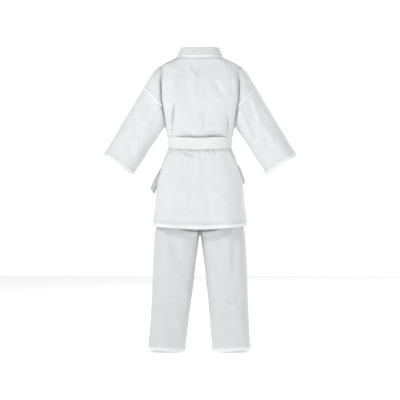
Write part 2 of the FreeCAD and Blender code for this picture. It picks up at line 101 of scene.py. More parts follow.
class UniformColours(bpy.types.PropertyGroup):
    """Colours of the cloth."""

    canvas: FloatVectorProperty(name="Jacket canvas", description="Colour of the jacket", subtype="COLOR",
                                default=(0.80, 0.805, 0.815))
    band: FloatVectorProperty(name="Bands", description="Colour of the collar and the hems", subtype="COLOR",
                              default=(0.90, 0.905, 0.91))
    tape: FloatVectorProperty(name="Seam tape", description="Colour of the seam tape", subtype="COLOR",
                              default=(0.93, 0.935, 0.94))
    belt: FloatVectorProperty(name="Belt", description="Colour of the belt", subtype="COLOR",
                              default=(0.92, 0.925, 0.93))
    trousers: FloatVectorProperty(name="Trousers", description="Colour of the trousers", subtype="COLOR",
                                  default=(0.72, 0.725, 0.74))
    elastic: FloatVectorProperty(name="Elastic", description="Colour of the waist elastic", subtype="COLOR",
                                 default=(0.78, 0.78, 0.77))
    floor: FloatVectorProperty(name="Floor", description="Colour of the floor", subtype="COLOR",
                               default=(0.93, 0.93, 0.93))


def sizes():
    return bpy.context.scene.uniform_sizes


def colours():
    return bpy.context.scene.uniform_colours


# ---- Folds, as tables in millimetres: crest line as (x, z) points, width, height ----
BACK_FOLDS = [
    ([(41, 1007), (35, 985), (23, 967), (0, 940)], 7, 2.6),
    ([(30, 1012), (20, 980), (10, 962)], 9, -1.8),
    ([(22, 1000), (20, 930), (19, 850)], 13, 2.4),
    ([(44, 960), (48, 900), (42, 840)], 14, -1.8),
    ([(76, 945), (83, 915), (88, 885)], 9, 2.8),
    ([(68, 930), (74, 895), (78, 868)], 8, -1.6),
    ([(-45, 955), (-70, 912), (-95, 876)], 9, -2.6),
    ([(-60, 955), (-85, 915), (-108, 884)], 11, 2.0),
    ([(-30, 945), (-56, 900), (-74, 868)], 10, 2.0),
    ([(-24, 850), (-16, 806), (-5, 762)], 8, -2.4),
    ([(-38, 846), (-30, 806), (-20, 764)], 8, 2.6),
    ([(2, 850), (8, 806), (12, 764)], 9, 1.8),
    ([(88, 868), (93, 827), (99, 764)], 4.2, -5.2),
    ([(97, 862), (102, 825), (107, 772)], 5.5, 3.4),
    ([(76, 860), (82, 820), (86, 768)], 8, 1.8),
    ([(-95, 830), (-98, 800), (-95, 758)], 4.2, -5.2),
    ([(-104, 834), (-107, 800), (-105, 764)], 5.5, 3.2),
    ([(-82, 830), (-84, 795), (-82, 765)], 7, 1.6),
    ([(60, 762), (20, 757), (-30, 757), (-84, 762)], 5, 2.2),
    ([(66, 776), (30, 768), (10, 766)], 6, -1.6),
    ([(-12, 770), (-46, 768), (-80, 778)], 5.5, -2.6),
    ([(-8, 782), (-46, 784), (-84, 796)], 8, 1.8),
    ([(46, 790), (60, 772), (66, 756)], 5, -1.8),
    ([(-52, 792), (-60, 774), (-62, 756)], 5, -1.8),
    ([(30, 788), (34, 770), (34, 756)], 5, 1.4),
    ([(-118, 1004), (-96, 1010), (-66, 1014)], 6, -1.4),
    ([(118, 1000), (94, 1006), (66, 1012)], 6, -1.4),
    ([(112, 975), (86, 985), (60, 984)], 10, 1.3),
    ([(-110, 972), (-86, 982), (-56, 984)], 10, 1.5),
    ([(118, 880), (104, 845), (104, 800)], 10, 1.5),
    ([(-120, 880), (-108, 848), (-106, 805)], 10, 1.5),
]
FRONT_FOLDS = [
    ([(120, 905), (86, 850), (52, 775)], 12, 3.0),
    ([(-120, 905), (-88, 850), (-52, 775)], 12, 3.0),
    ([(100, 905), (70, 850), (40, 790)], 9, -2.4),
    ([(-100, 905), (-72, 850), (-40, 790)], 9, -2.4),
    ([(112, 860), (96, 810), (78, 762)], 8, 2.4),
    ([(-112, 860), (-96, 810), (-78, 762)], 8, 2.4),
    ([(70, 800), (66, 780), (62, 757)], 5, -2.2),
    ([(-70, 800), (-68, 780), (-64, 757)], 5, -2.2),
    ([(34, 800), (30, 775), (28, 756)], 5, -1.8),
    ([(-36, 800), (-32, 775), (-30, 756)], 5, -1.8),
    ([(118, 990), (96, 960), (84, 915)], 12, 2.2),
    ([(-118, 990), (-96, 960), (-84, 915)], 12, 2.2),
]
ARM_FOLDS = [
    ([(178, 888), (187, 866), (204, 810), (216, 762)], 8, 3.6),
    ([(166, 880), (176, 850), (196, 790)], 8, -3.2),
    ([(206, 880), (224, 842), (246, 800)], 9, 1.8),
    ([(148, 826), (168, 800), (186, 764)], 7, -2.6),
    ([(140, 838), (156, 812), (172, 780)], 6, 2.2),
    ([(226, 800), (246, 750), (268, 706)], 10, 2.0),
    ([(214, 786), (232, 736), (250, 694)], 9, -1.8),
    ([(250, 820), (272, 770), (296, 724)], 9, -1.6),
    ([(190, 742), (212, 704), (230, 672)], 8, 1.8),
    ([(146, 975), (158, 948), (160, 915)], 9, 1.8),
    ([(138, 868), (150, 850), (160, 826)], 6, -2.0),
]
SKIRT_FOLDS = [
    ([(74, 704), (44, 691), (16, 676)], 4.2, -3.0),
    ([(66, 709), (40, 697), (8, 685)], 5, 2.6),
    ([(58, 694), (36, 682), (14, 668)], 5, 1.8),
    ([(46, 706), (34, 700), (20, 690)], 3.5, -1.8),
    ([(-20, 707), (-30, 700), (-42, 692)], 3.5, -2.4),
    ([(-44, 704), (-50, 698), (-54, 690)], 3.5, -2.0),
    ([(80, 706), (72, 680), (68, 640)], 6, 2.0),
    ([(92, 706), (96, 676), (98, 636)], 6, -1.8),
    ([(-28, 706), (-36, 684), (-40, 646)], 6, 1.9),
    ([(-44, 706), (-52, 682), (-60, 650)], 6, -1.0),
    ([(-62, 706), (-72, 684), (-80, 654)], 7, 1.0),
    ([(-84, 706), (-94, 680), (-100, 640)], 6, -1.0),
    ([(6, 706), (4, 680), (2, 640)], 5, 1.4),
    ([(20, 706), (20, 690), (22, 668)], 4, -1.2),
    ([(0, 617), (1, 560), (0, 500)], 3.5, -0.7),
    ([(62, 640), (66, 560), (70, 470)], 20, 1.5),
    ([(-58, 640), (-66, 560), (-76, 470)], 20, 1.6),
    ([(104, 600), (112, 540), (118, 460)], 16, -1.2),
    ([(-104, 600), (-112, 540), (-120, 460)], 16, -1.2),
    ([(28, 560), (30, 510), (34, 455)], 12, -1.5),
    ([(-24, 560), (-30, 510), (-36, 455)], 12, -1.5),
    ([(53, 492), (42, 489), (30, 488)], 3, 0.8),
    ([(-28, 491), (-42, 489), (-54, 490)], 3, 0.8),
]
# Lines of painted shade where the cloth closes on itself: line, width and strength. Below 0 it is a painted
# highlight on a ridge
BACK_SHADE_LINES = [
    ([(127, 992), (132, 972), (135, 936), (135, 873), (130, 842), (119, 800)], 1.7, 0.56),
    ([(-129, 990), (-134, 970), (-138, 929), (-137, 866), (-130, 831), (-120, 796)], 1.6, 0.40),
    ([(88, 868), (93, 827), (96, 780), (98, 757)], 2.0, 0.44),
    ([(-99, 830), (-98, 805), (-96, 780), (-94, 757)], 1.9, 0.40),
    ([(84, 862), (88, 830), (90, 790)], 3.5, 0.10),
    ([(-96, 1021), (-60, 1021.5), (0, 1021.5), (60, 1021.5), (96, 1021)], 2.0, 0.34),
    ([(72, 1022), (98, 1016), (118, 1004), (134, 989)], 2.2, 0.42),
    ([(-72, 1022), (-98, 1016), (-120, 1005), (-140, 992), (-150, 986)], 2.2, 0.46),
    ([(-14, 756), (-30, 753), (-48, 756), (-66, 755), (-84, 758)], 2.4, 0.40),
    ([(70, 758), (50, 756), (22, 756)], 2.2, 0.22),
    ([(-2, 776), (-20, 766), (-44, 764), (-62, 772)], 4.0, 0.16),
    ([(-2, 818), (-10, 796), (-14, 776)], 5.0, 0.10),
    ([(30, 765), (22, 760), (16, 755)], 2.5, -0.10),
    ([(-12, 763), (-18, 768), (-26, 766)], 2.5, -0.10),
    ([(112, 753), (0, 752), (-112, 753)], 1.7, 0.42),
    ([(140, 852), (152, 826), (168, 792), (190, 748)], 4.0, 0.09),
    ([(-142, 850), (-156, 822), (-172, 786), (-192, 744)], 4.0, 0.11),
    ([(84, 1014), (92, 1004), (96, 992)], 2.0, 0.12),
    ([(-86, 1013), (-92, 1003), (-96, 992)], 2.0, 0.12),
    ([(100, 1008), (108, 998), (110, 988)], 2.0, 0.12),
    ([(-104, 1007), (-110, 998), (-112, 988)], 2.0, 0.12),
]
FRONT_SHADE_LINES = [
    ([(128, 990), (135, 936), (135, 873), (130, 842), (119, 800)], 2.5, 0.45),
    ([(-128, 990), (-135, 936), (-135, 873), (-130, 842), (-119, 800)], 2.5, 0.45),
    ([(112, 753), (0, 752), (-112, 753)], 1.9, 0.34),
    ([(72, 1022), (98, 1016), (118, 1004), (134, 989)], 2.2, 0.20),
    ([(-72, 1022), (-98, 1016), (-118, 1004), (-134, 989)], 2.2, 0.20),
]
SKIRT_SHADE_LINES = [
    ([(112, 705), (60, 702), (0, 701), (-60, 702), (-112, 705)], 1.8, 0.46),
    ([(76, 703), (56, 694), (36, 684), (18, 677)], 2.0, 0.30),
    ([(60, 690), (42, 680), (28, 671)], 2.0, 0.14),
    ([(38, 706), (31, 700), (22, 696)], 2.0, 0.26),
    ([(-18, 706), (-28, 700), (-36, 694)], 2.0, 0.30),
    ([(-42, 706), (-48, 699), (-53, 692)], 2.0, 0.24),
    ([(10, 706), (6, 698), (2, 692)], 2.0, 0.16),
    ([(70, 700), (52, 690), (34, 680)], 1.8, -0.06),
    ([(0, 620), (1, 560), (0, 500)], 2.0, 0.06),
    ([(54, 493), (42, 489), (29, 488)], 2.2, -0.07),
    ([(-28, 491), (-42, 489), (-55, 491)], 2.2, -0.05),
    ([(44, 480), (32, 478), (22, 479)], 2.0, -0.06),
]
LEG_SHADE_LINES = [
    ([(2, 432), (2, 412), (3, 392)], 7.0, 0.50),
    ([(76, 431), (44, 425), (0, 421), (-20, 421)], 3.6, 0.72),
    ([(158, 437), (100, 434), (50, 430)], 2.6, 0.16),
    ([(17, 360), (24, 260), (33, 150), (42, 20)], 2.2, 0.16),
    ([(12, 418), (15, 392), (19, 366)], 3.0, -0.20),
    ([(24, 412), (27, 392), (28, 372)], 2.6, -0.16),
    ([(109, 420), (109, 340), (109, 240)], 5.0, 0.05),
    ([(121, 165), (106, 172), (90, 187)], 5.0, 0.09),
    ([(90, 24), (76, 36), (60, 52)], 4.5, 0.05),
]
INSEAM_FOLDS = [
    ([(20, 400), (34, 370), (44, 330)], 7, -2.2),
    ([(30, 404), (48, 376), (60, 340)], 8, 2.0),
]
LEG_FOLDS = [
    ([(102, 418), (102, 330), (103, 233)], 10, 2.6),
    ([(84, 400), (86, 330), (90, 250)], 11, -1.8),
    ([(124, 400), (124, 330), (122, 260)], 12, -1.6),
    ([(121, 165), (106, 172), (90, 187)], 6, -2.2),
    ([(124, 176), (106, 186), (88, 200)], 7, 1.8),
    ([(120, 152), (104, 158), (86, 170)], 7, 1.6),
    ([(86, 28), (72, 40), (58, 54)], 5, 1.8),
    ([(40, 240), (52, 215), (64, 200)], 8, -1.8),
    ([(70, 120), (84, 110), (104, 106)], 8, 1.4),
    *INSEAM_FOLDS,
    ([(140, 420), (136, 380), (134, 330)], 9, 1.8),
    ([(56, 420), (60, 380), (70, 330)], 9, 1.6),
]
RIGHT_LEG_FOLDS = [
    ([(112, 164), (100, 176), (88, 190)], 6, -2.2),
    ([(100, 160), (90, 172), (76, 188)], 7, 1.8),
    ([(122, 172), (110, 186), (98, 200)], 7, 1.6),
    ([(34, 189), (46, 184), (62, 178)], 4.5, 1.8),
    ([(50, 54), (62, 36), (78, 18)], 5, 1.8),
    ([(70, 120), (86, 112), (104, 110)], 8, 1.4),
    *INSEAM_FOLDS,
    ([(96, 420), (98, 350), (96, 260)], 14, 2.2),
    ([(118, 400), (120, 330), (118, 250)], 12, -1.8),
    ([(140, 420), (138, 380), (136, 330)], 9, 1.8),
]


# ---- Cloth mathematics ----
def smoothstep(x, low, high):
    t = np.clip((x - low) / (high - low), 0, 1)
    return t * t * (3 - 2 * t)


def flow(x, stations, values, soft=0.006):
    """Values between stations, with the corners rounded over a distance."""
    total = 0
    for shift in np.linspace(-1, 1, 9):
        total = total + np.interp(x + shift * soft, stations, values)
    return total / 9


def curve(points, count):
    """A smooth line of count points through control points."""
    points = np.array(points, float)
    ends = np.vstack([2 * points[0] - points[1], points, 2 * points[-1] - points[-2]])
    steps = np.linalg.norm(np.diff(points, axis=0), axis=1)
    at = np.concatenate([[0], np.cumsum(steps)])
    wanted = np.linspace(0, at[-1], count)
    index = np.clip(np.searchsorted(at, wanted, side="right") - 1, 0, len(steps) - 1)
    t = ((wanted - at[index]) / steps[index])[:, None]
    a, b, c, d = (ends[index + k] for k in range(4))
    return 0.5 * (2 * b + (c - a) * t + (2 * a - 5 * b + 4 * c - d) * t ** 2
                  + (3 * b - a - 3 * c + d) * t ** 3)


def crease(x, z, line, width, height):
    """Height that one fold adds at points, all in metres."""
    line = np.array(line, float) * MM
    lengths = np.hypot(*np.diff(line, axis=0).T)
    nearest = np.full(np.shape(x), 1e9)
    share = np.zeros(np.shape(x))
    before = 0.0
    for (x0, z0), (x1, z1), length in zip(line[:-1], line[1:], lengths):
        run, rise = (x1 - x0) / length, (z1 - z0) / length
        t = np.clip((x - x0) * run + (z - z0) * rise, 0, length)
        away = np.hypot(x - x0 - t * run, z - z0 - t * rise)
        share = np.where(away < nearest, (before + t) / lengths.sum(), share)
        nearest = np.minimum(away, nearest)
        before += length
    taper = np.sin(np.pi * np.clip(share, 0.02, 0.98)) ** 0.7
    return height * MM * taper * np.exp(-((nearest / (width * MM)) ** 2))


def folded(x, z, table):
    return sizes().folds * sum(crease(x, z, *fold) for fold in table)


def painted_shading(x, z, table):
    """Painted shade of points in the deep lines of a table, from 0 to 1; below 0 it is a painted highlight on
    ridges.
    """
    return np.clip(sum(crease(x, z, *line) for line in table) / MM, -0.2, 0.85)


def ripple(a, b, seed, length, height, lean=0.0, spread=0.5):
    """Seeded unevenness over two surface coordinates; it varies mostly along the lean."""
    rng = np.random.default_rng(seed)
    total = 0
    for _ in range(16):
        turn = rng.normal(lean, spread)
        wave = length * rng.uniform(0.55, 1.7)
        along = a * math.cos(turn) + b * math.sin(turn)
        total = total + np.sin(2 * np.pi * along / wave + rng.uniform(0, 6.28))
    return sizes().ripples * height * MM * total / math.sqrt(8)


def ring(wide, deep, corner, reach):
    """Point of a round-cornered section, at a distance along it from the middle of its back."""
    away = np.abs(reach)
    flat = wide - corner
    turn = np.clip((away - flat) / corner, 0, np.pi / 2)
    x = np.where(away < flat, away, flat + corner * np.sin(turn))
    y = np.where(away < flat, deep, deep - corner + corner * np.cos(turn))
    return np.sign(reach) * x, y - np.clip(away - flat - corner * np.pi / 2, 0, None)


def ring_reach(wide, corner, x):
    """Distance along a section at which it reaches x."""
    flat = wide - corner
    beyond = np.clip((np.abs(x) - flat) / corner, 0, 1)
    return np.sign(x) * np.where(np.abs(x) < flat, np.abs(x), flat + corner * np.arcsin(beyond))


def side_reach(wide, deep, corner):
    return wide - corner + corner * np.pi / 2 + deep - corner


def normals(points, core=None):
    """Outward unit normals of a grid; core is a point or points inside it."""
    along = np.gradient(points, axis=0)
    across = np.gradient(points, axis=1)
    out = np.cross(across, along)
    out /= np.linalg.norm(out, axis=2, keepdims=True) + 1e-12
    inside = points.mean(axis=1, keepdims=True) if core is None else core
    if np.sum(out * (points - inside)) < 0:
        out = -out
    return out


def grid(x, y, z):
    """Points from their coordinates, each spread over the same rows and columns."""
    return np.stack(np.broadcast_arrays(x, y, z), axis=-1)


def odd_count(half):
    """Odd number of columns across a width, given its half."""
    return 2 * int(half / sizes().mesh) + 1


def bulge(count, margin=0.05, power=0.5):
    """Profile across a band: full in the middle and less at its two edges."""
    return np.sin(np.pi * np.linspace(margin, 1 - margin, count))[:, None] ** power


def swell(points, height, core=None):
    """Moves points outwards, by a height at each."""
    return points + normals(points, core) * height[..., None]


def depth_only(points, height):
    """Moves points in or out along Y, less where the cloth turns edge on."""
    fade = 0.018
    moved = points.copy()
    y = points[..., 1]
    moved[..., 1] += np.sign(y) * height * np.clip(np.abs(y) / fade, 0, 1)
    return moved


# ---- Making pieces ----
def grid_object(name, points, core=None, edges=None, deep=None):
    """Mesh of a grid of points, faces outwards. Its UV map in metres is measured, unless edges gives it;
    deep, where given, is painted shade at each point, kept as a mesh attribute.
    """
    rows, columns = points.shape[:2]
    index = np.arange(rows * columns).reshape(rows, columns)
    faces = np.stack([index[:-1, :-1], index[:-1, 1:], index[1:, 1:], index[1:, :-1]], axis=-1).reshape(-1, 4)
    out = normals(points, core)
    plain = np.cross(np.gradient(points, axis=1), np.gradient(points, axis=0))
    if np.sum(plain * out) < 0:
        faces = faces[:, ::-1]
    if edges is None:
        middle = columns // 2
        steps = np.linalg.norm(np.diff(points, axis=1), axis=2)
        u = np.concatenate([np.zeros((rows, 1)), np.cumsum(steps, axis=1)], axis=1)
        u = u - u[:, middle:middle + 1]
        steps = np.linalg.norm(np.diff(points, axis=0), axis=2)
        v = np.concatenate([np.zeros((1, columns)), np.cumsum(steps, axis=0)], axis=0)
    else:
        u, v = (np.broadcast_to(part, (rows, columns)) for part in edges)
    mesh = bpy.data.meshes.new(name)
    mesh.from_pydata(points.reshape(-1, 3).tolist(), [], faces.tolist())
    uv = np.stack([u, v], axis=-1).reshape(-1, 2)
    layer = mesh.uv_layers.new(name="Cloth")
    corners = np.zeros(len(mesh.loops), np.int32)
    mesh.loops.foreach_get("vertex_index", corners)
    layer.data.foreach_set("uv", uv[corners].astype(np.float32).ravel())
    # Painted shade at each point, kept as an attribute by which the material darkens its colour
    if deep is not None:
        layer = mesh.attributes.new("PaintedShading", "FLOAT", "POINT")
        layer.data.foreach_set("value", np.broadcast_to(deep, (rows, columns)).astype(np.float32).ravel())
    thing = bpy.data.objects.new(name, mesh)
    bpy.context.scene.collection.objects.link(thing)
    return thing


def only(thing):
    bpy.ops.object.select_all(action="DESELECT")
    thing.select_set(True)
    bpy.context.view_layer.objects.active = thing


def finish_cloth(thing, thickness, material, merge=True):
    """Closes the doubles, gives the cloth its thickness inwards and its material."""
    only(thing)
    if merge:
        bpy.ops.object.mode_set(mode="EDIT")
        bpy.ops.mesh.select_all(action="SELECT")
        bpy.ops.mesh.remove_doubles(threshold=0.0002)
        bpy.ops.object.mode_set(mode="OBJECT")
    if thickness:
        wall = thing.modifiers.new("Wall", "SOLIDIFY")
        wall.thickness = thickness
        wall.offset = -1.0
        wall.use_even_offset = False
        bpy.ops.object.modifier_apply(modifier=wall.name)
    bpy.ops.object.shade_smooth_by_angle(angle=math.radians(50))
    thing.data.materials.clear()
    thing.data.materials.append(material)
    return thing


# ---- Materials ----
class Weaver:
    """Node tree of one cloth, with short calls for the sums it needs."""

    def __init__(self, name):
        self.material = bpy.data.materials.new(name)
        self.material.use_nodes = True
        self.nodes = self.material.node_tree.nodes
        self.links = self.material.node_tree.links
        self.shader = self.nodes["Principled BSDF"]
        place = self.nodes.new("ShaderNodeTexCoord")
        self.object = place.outputs["Object"]
        split = self.nodes.new("ShaderNodeSeparateXYZ")
        self.links.new(place.outputs["UV"], split.inputs[0])
        self.u, self.v = split.outputs[0], split.outputs[1]
        # The mesh's painted-shade attribute: it darkens the colour in creases, and lightens it on ridges
        # where it is below 0
        deep = self.nodes.new("ShaderNodeAttribute")
        deep.attribute_name = "PaintedShading"
        self.painted_shading = deep.outputs["Fac"]

    def put(self, value, socket):
        if isinstance(value, (int, float)):
            socket.default_value = value
        else:
            self.links.new(value, socket)

    def sum(self, operation, *values):
        node = self.nodes.new("ShaderNodeMath")
        node.operation = operation
        for socket, value in zip(node.inputs, values):
            self.put(value, socket)
        return node.outputs[0]

    def fade(self, value, low, high, start=0.0, end=1.0):
        node = self.nodes.new("ShaderNodeMapRange")
        node.interpolation_type = "SMOOTHSTEP"
        for socket, item in zip(node.inputs[:5], (value, low, high, start, end)):
            self.put(item, socket)
        return node.outputs[0]

    def noise(self, scale, detail, rough, stretch=None):
        node = self.nodes.new("ShaderNodeTexNoise")
        vector = self.object
        if stretch:
            mapping = self.nodes.new("ShaderNodeMapping")
            mapping.inputs["Scale"].default_value = stretch
            self.links.new(vector, mapping.inputs["Vector"])
            vector = mapping.outputs[0]
        self.links.new(vector, node.inputs["Vector"])
        node.inputs["Scale"].default_value = scale
        node.inputs["Detail"].default_value = detail
        node.inputs["Roughness"].default_value = rough
        return node.outputs["Fac"]

    def plain_weave(self, pitch):
        """Threads that go over and under each other, from 0 to 1."""
        warp = self.sum("SINE", self.sum("MULTIPLY", self.u, math.pi / pitch))
        weft = self.sum("SINE", self.sum("MULTIPLY", self.v, math.pi / pitch))
        over = self.sum("MULTIPLY", warp, weft)
        return self.sum("MULTIPLY_ADD", over, 0.5, 0.5)

    def stitched(self, groove, length):
        """Masks of stitched rows: the groove, and the thread that lies in it stitch by stitch."""
        beat = self.sum("FRACT", self.sum("DIVIDE", self.u, length))
        dash = self.fade(self.sum("ABSOLUTE", self.sum("SUBTRACT", beat, 0.5)), 0.30, 0.42, 1.0, 0.0)
        return groove, self.sum("MULTIPLY", groove, dash)

    def rows(self, heights, width, length):
        """Stitched rows at heights across the cloth."""
        groove = 0.0
        for height in heights:
            away = self.sum("ABSOLUTE", self.sum("SUBTRACT", self.v, height))
            groove = self.sum("MAXIMUM", groove, self.fade(away, width * 0.35, width, 1.0, 0.0))
        return self.stitched(groove, length)

    def repeated_rows(self, pitch, width, length):
        """Stitched rows at one distance from each other, over the whole cloth."""
        away = self.sum("PINGPONG", self.v, pitch / 2)
        away = self.sum("SUBTRACT", pitch / 2, away)
        groove = self.fade(away, width * 0.3, width, 1.0, 0.0)
        return self.stitched(groove, length)

    def tint(self, colour, shade):
        """The cloth's colour, times a shade that varies over it."""
        node = self.nodes.new("ShaderNodeVectorMath")
        node.operation = "SCALE"
        node.inputs[0].default_value = colour[:]
        self.links.new(shade, node.inputs["Scale"])
        self.links.new(node.outputs[0], self.shader.inputs["Base Color"])

    def relief(self, height, distance, strength):
        node = self.nodes.new("ShaderNodeBump")
        node.inputs["Strength"].default_value = strength
        node.inputs["Distance"].default_value = distance
        self.links.new(height, node.inputs["Height"])
        self.links.new(node.outputs[0], self.shader.inputs["Normal"])


MATERIALS = {}


def cloth_material(name, colour, pitch, mottle, rows=None, repeat=None, binding=None, groove_painted_shade=0.26):
    """Woven cotton: threads, slubs, uneven whiteness, and stitched rows where it has them, with painted shade
    in their grooves, and the mesh's painted shade and painted highlights.
    """
    if name in MATERIALS:
        return MATERIALS[name]
    w = Weaver(name)
    weave = w.plain_weave(pitch)
    cloud = w.noise(9.0, 4.0, 0.6)
    slub = w.noise(260.0, 2.0, 0.5, (1.0, 1.0, 0.18))
    worn = w.noise(55.0, 3.0, 0.6)
    shade = w.sum("MULTIPLY_ADD", cloud, mottle * 1.6, 1.0 - mottle * 0.8)
    shade = w.sum("ADD", shade, w.sum("MULTIPLY_ADD", slub, mottle, -mottle * 0.5))
    shade = w.sum("ADD", shade, w.sum("MULTIPLY_ADD", worn, mottle, -mottle * 0.5))
    shade = w.sum("MULTIPLY", shade, w.sum("MULTIPLY_ADD", weave, 0.05, 0.95))
    height = w.sum("ADD", w.sum("MULTIPLY", weave, 0.35), w.sum("MULTIPLY", worn, 0.9))
    height = w.sum("ADD", height, w.sum("MULTIPLY", slub, 0.5))
    stitch = sizes().stitch
    masks = []
    if rows:
        masks.append(w.rows(rows, 0.0011, stitch))
    if repeat:
        masks.append(w.repeated_rows(repeat, 0.0012, stitch))
    # Painted shade: each stitched row's groove is darkened, and the thread that lies in it is painted lighter
    for groove, thread in masks:
        shade = w.sum("SUBTRACT", shade, w.sum("MULTIPLY", groove, groove_painted_shade))
        shade = w.sum("ADD", shade, w.sum("MULTIPLY", thread, 0.16))
        height = w.sum("SUBTRACT", height, w.sum("MULTIPLY", groove, 1.6))
        height = w.sum("ADD", height, w.sum("MULTIPLY", thread, 1.1))
    if binding:
        low, high = binding
        soft = 0.0005
        band = w.sum("MULTIPLY", w.fade(w.v, low - soft, low + soft),
                     w.fade(w.v, high - soft, high + soft, 1.0, 0.0))
        shade = w.sum("ADD", shade, w.sum("MULTIPLY", band, 0.14))
        height = w.sum("ADD", height, w.sum("MULTIPLY", band, 2.0))
    # Painted shade and painted highlights: the colour darkens with the mesh's painted-shade attribute and
    # brightens where it is below 0
    shade = w.sum("MULTIPLY", shade, w.sum("SUBTRACT", 1.0, w.painted_shading))
    w.tint(colour, shade)
    w.relief(height, 0.0005, 0.8)
    w.shader.inputs["Roughness"].default_value = 0.92
    w.shader.inputs["Specular IOR Level"].default_value = 0.25
    w.shader.inputs["Sheen Weight"].default_value = 0.25
    w.shader.inputs["Sheen Roughness"].default_value = 0.55
    MATERIALS[name] = w.material
    return w.material


def canvas():
    return cloth_material("bleached_canvas", colours().canvas, sizes().thread, 0.045)


def skirt_cloth():
    return cloth_material("skirt_canvas", colours().canvas, sizes().thread, 0.05, rows=[0.0025, 0.0065],
                          groove_painted_shade=0.16)


def hem_material(name, colour):
    """Turned-up hem with two rows of stitches near its upper edge."""
    depth = sizes().hem
    return cloth_material(name, colour, sizes().thread, 0.10, rows=[depth - 0.0015, depth - 0.0045])


def hem_cloth():
    return hem_material("hem_band", colours().band)


def collar_cloth():
    return cloth_material("quilted_collar", [c * 0.90 for c in colours().band], sizes().thread, 0.09,
                          rows=[0.0035, 0.011, 0.018, 0.025], binding=(0.0285, 0.0335), groove_painted_shade=0.50)


def facing_cloth():
    return cloth_material("facing_edge", colours().band, sizes().thread, 0.05, rows=[0.0066])


def tape_cloth():
    return cloth_material("twill_tape", colours().tape, sizes().thread * 0.7, 0.05,
                          rows=[0.0012, sizes().tape - 0.0012])


def belt_cloth():
    return cloth_material("stitched_belt", colours().belt, sizes().thread, 0.07,
                          repeat=(BELT_HIGH - BELT_LOW) / sizes().belt_rows)


def trouser_cloth():
    return cloth_material("trouser_canvas", colours().trousers, sizes().thread, 0.05)


def trouser_hem_cloth():
    return hem_material("trouser_hem", [c * 1.20 for c in colours().trousers])


def elastic_cloth():
    return cloth_material("ribbed_elastic", colours().elastic, sizes().thread * 0.8, 0.04, repeat=0.004)


# ---- The jacket's trunk ----
TRUNK_Z = BELT_LOW + np.array([-0.004, 0.038, 0.0425, 0.0455, 0.051, 0.066, 0.088, 0.171, 0.241, 0.294,
                               0.316])
TRUNK_WIDE = np.array([0.103, 0.1035, 0.105, 0.1135, 0.1165, 0.1175, 0.1225, 0.147, 0.150, 0.133, 0.083])
TRUNK_DEEP = np.array([0.072, 0.0715, 0.073, 0.0835, 0.088, 0.0885, 0.088, 0.087, 0.076, 0.056, 0.050])
ARMHOLE_LOW, ARMHOLE_HIGH = BELT_LOW + 0.067, BELT_LOW + 0.294


def trunk(z):
    """Half-width, half-depth and corner of the trunk at heights."""
    soft = 0.0012 + 0.006 * smoothstep(z, BELT_HIGH + 0.004, BELT_HIGH + 0.030)
    wide = flow(z, TRUNK_Z, TRUNK_WIDE, soft)
    deep = flow(z, TRUNK_Z, TRUNK_DEEP, soft)
    return wide, deep, deep * 0.82


def fold_x(z):
    """Where the body's cloth folds over the shoulder's, from the armpit to the shoulder."""
    heights = np.array([776, 800, 820, 845, 873, 936, 965, 1003]) * MM
    return flow(z, heights, np.array([122, 121, 124, 130, 134.5, 135, 132, 134]) * MM, 0.008)


def armhole_reach(z):
    """Distance along the trunk's section from its middle to the armhole or the side."""
    wide, deep, corner = trunk(z)
    side = side_reach(wide, deep, corner)
    at_fold = ring_reach(wide, corner, np.minimum(fold_x(z), wide))
    above_armpit = smoothstep(z, ARMHOLE_LOW, ARMHOLE_LOW + 0.026)
    inside = above_armpit * (1 - smoothstep(z, ARMHOLE_HIGH - 0.020, ARMHOLE_HIGH))
    return side + (at_fold - side) * inside


def shoulder_fold(x, z):
    """The roll of the body's cloth beside the valley that it makes on the shoulder."""
    size = np.abs(x)
    away = size - fold_x(z)
    strength = smoothstep(z, 0.772, 0.815) * (1 - smoothstep(z, 0.935, 0.992))
    roll = 4.6 * np.exp(-((away + 0.011) / 0.009) ** 2)
    valley = 9.0 * np.exp(-((away - 0.0020) / 0.0040) ** 2)
    return sizes().folds * MM * strength * (roll - valley)


def body_relief(x, z, y):
    """Height of all folds of the jacket above the belt, at points."""
    behind = y >= 0
    right = x < 0
    arm = folded(np.abs(x), z, ARM_FOLDS) * smoothstep(np.abs(x), 0.120, 0.150)
    back = folded(x, z, BACK_FOLDS)
    front = folded(x, z, FRONT_FOLDS)
    fine = ripple(x, z, 7, 0.055, 0.5, 0.2, 0.6) + ripple(x, z, 11, 0.022, 0.16, 0.0, 0.9)
    folds = np.where(behind, back, front) + np.where(behind, arm, 0.8 * arm)
    return folds + fine + shoulder_fold(x, z) + np.where(right, ripple(x, z, 23, 0.06, 0.35), 0)


# Painted shade of the jacket above the belt: from the back's table of lines behind, from the front's in front
def jacket_painted_shading(points):
    x, y, z = points[..., 0], points[..., 1], points[..., 2]
    return np.where(y >= 0, painted_shading(x, z, BACK_SHADE_LINES), painted_shading(x, z, FRONT_SHADE_LINES))


def front_painted_shading(points, side):
    """Painted shadow of one front: a line beside its lapel, and a line where the wearer's left front covers
    the right, added to the jacket's painted shade.
    """
    x, z = points[..., 0], points[..., 2]
    beside = side * x - front_edge_x(z + 0.0158) - 0.0340
    lines = 0.30 * np.exp(-((beside / 0.0024) ** 2))
    if side < 0:
        under = front_edge_x(z) - x
        lines = np.maximum(lines, 0.42 * np.exp(-((under - 0.001) / 0.0034) ** 2) * (under > -0.004))
    above_belt = smoothstep(z, BELT_HIGH + 0.004, BELT_HIGH + 0.012)
    return jacket_painted_shading(points) + lines * (points[..., 1] < 0) * above_belt


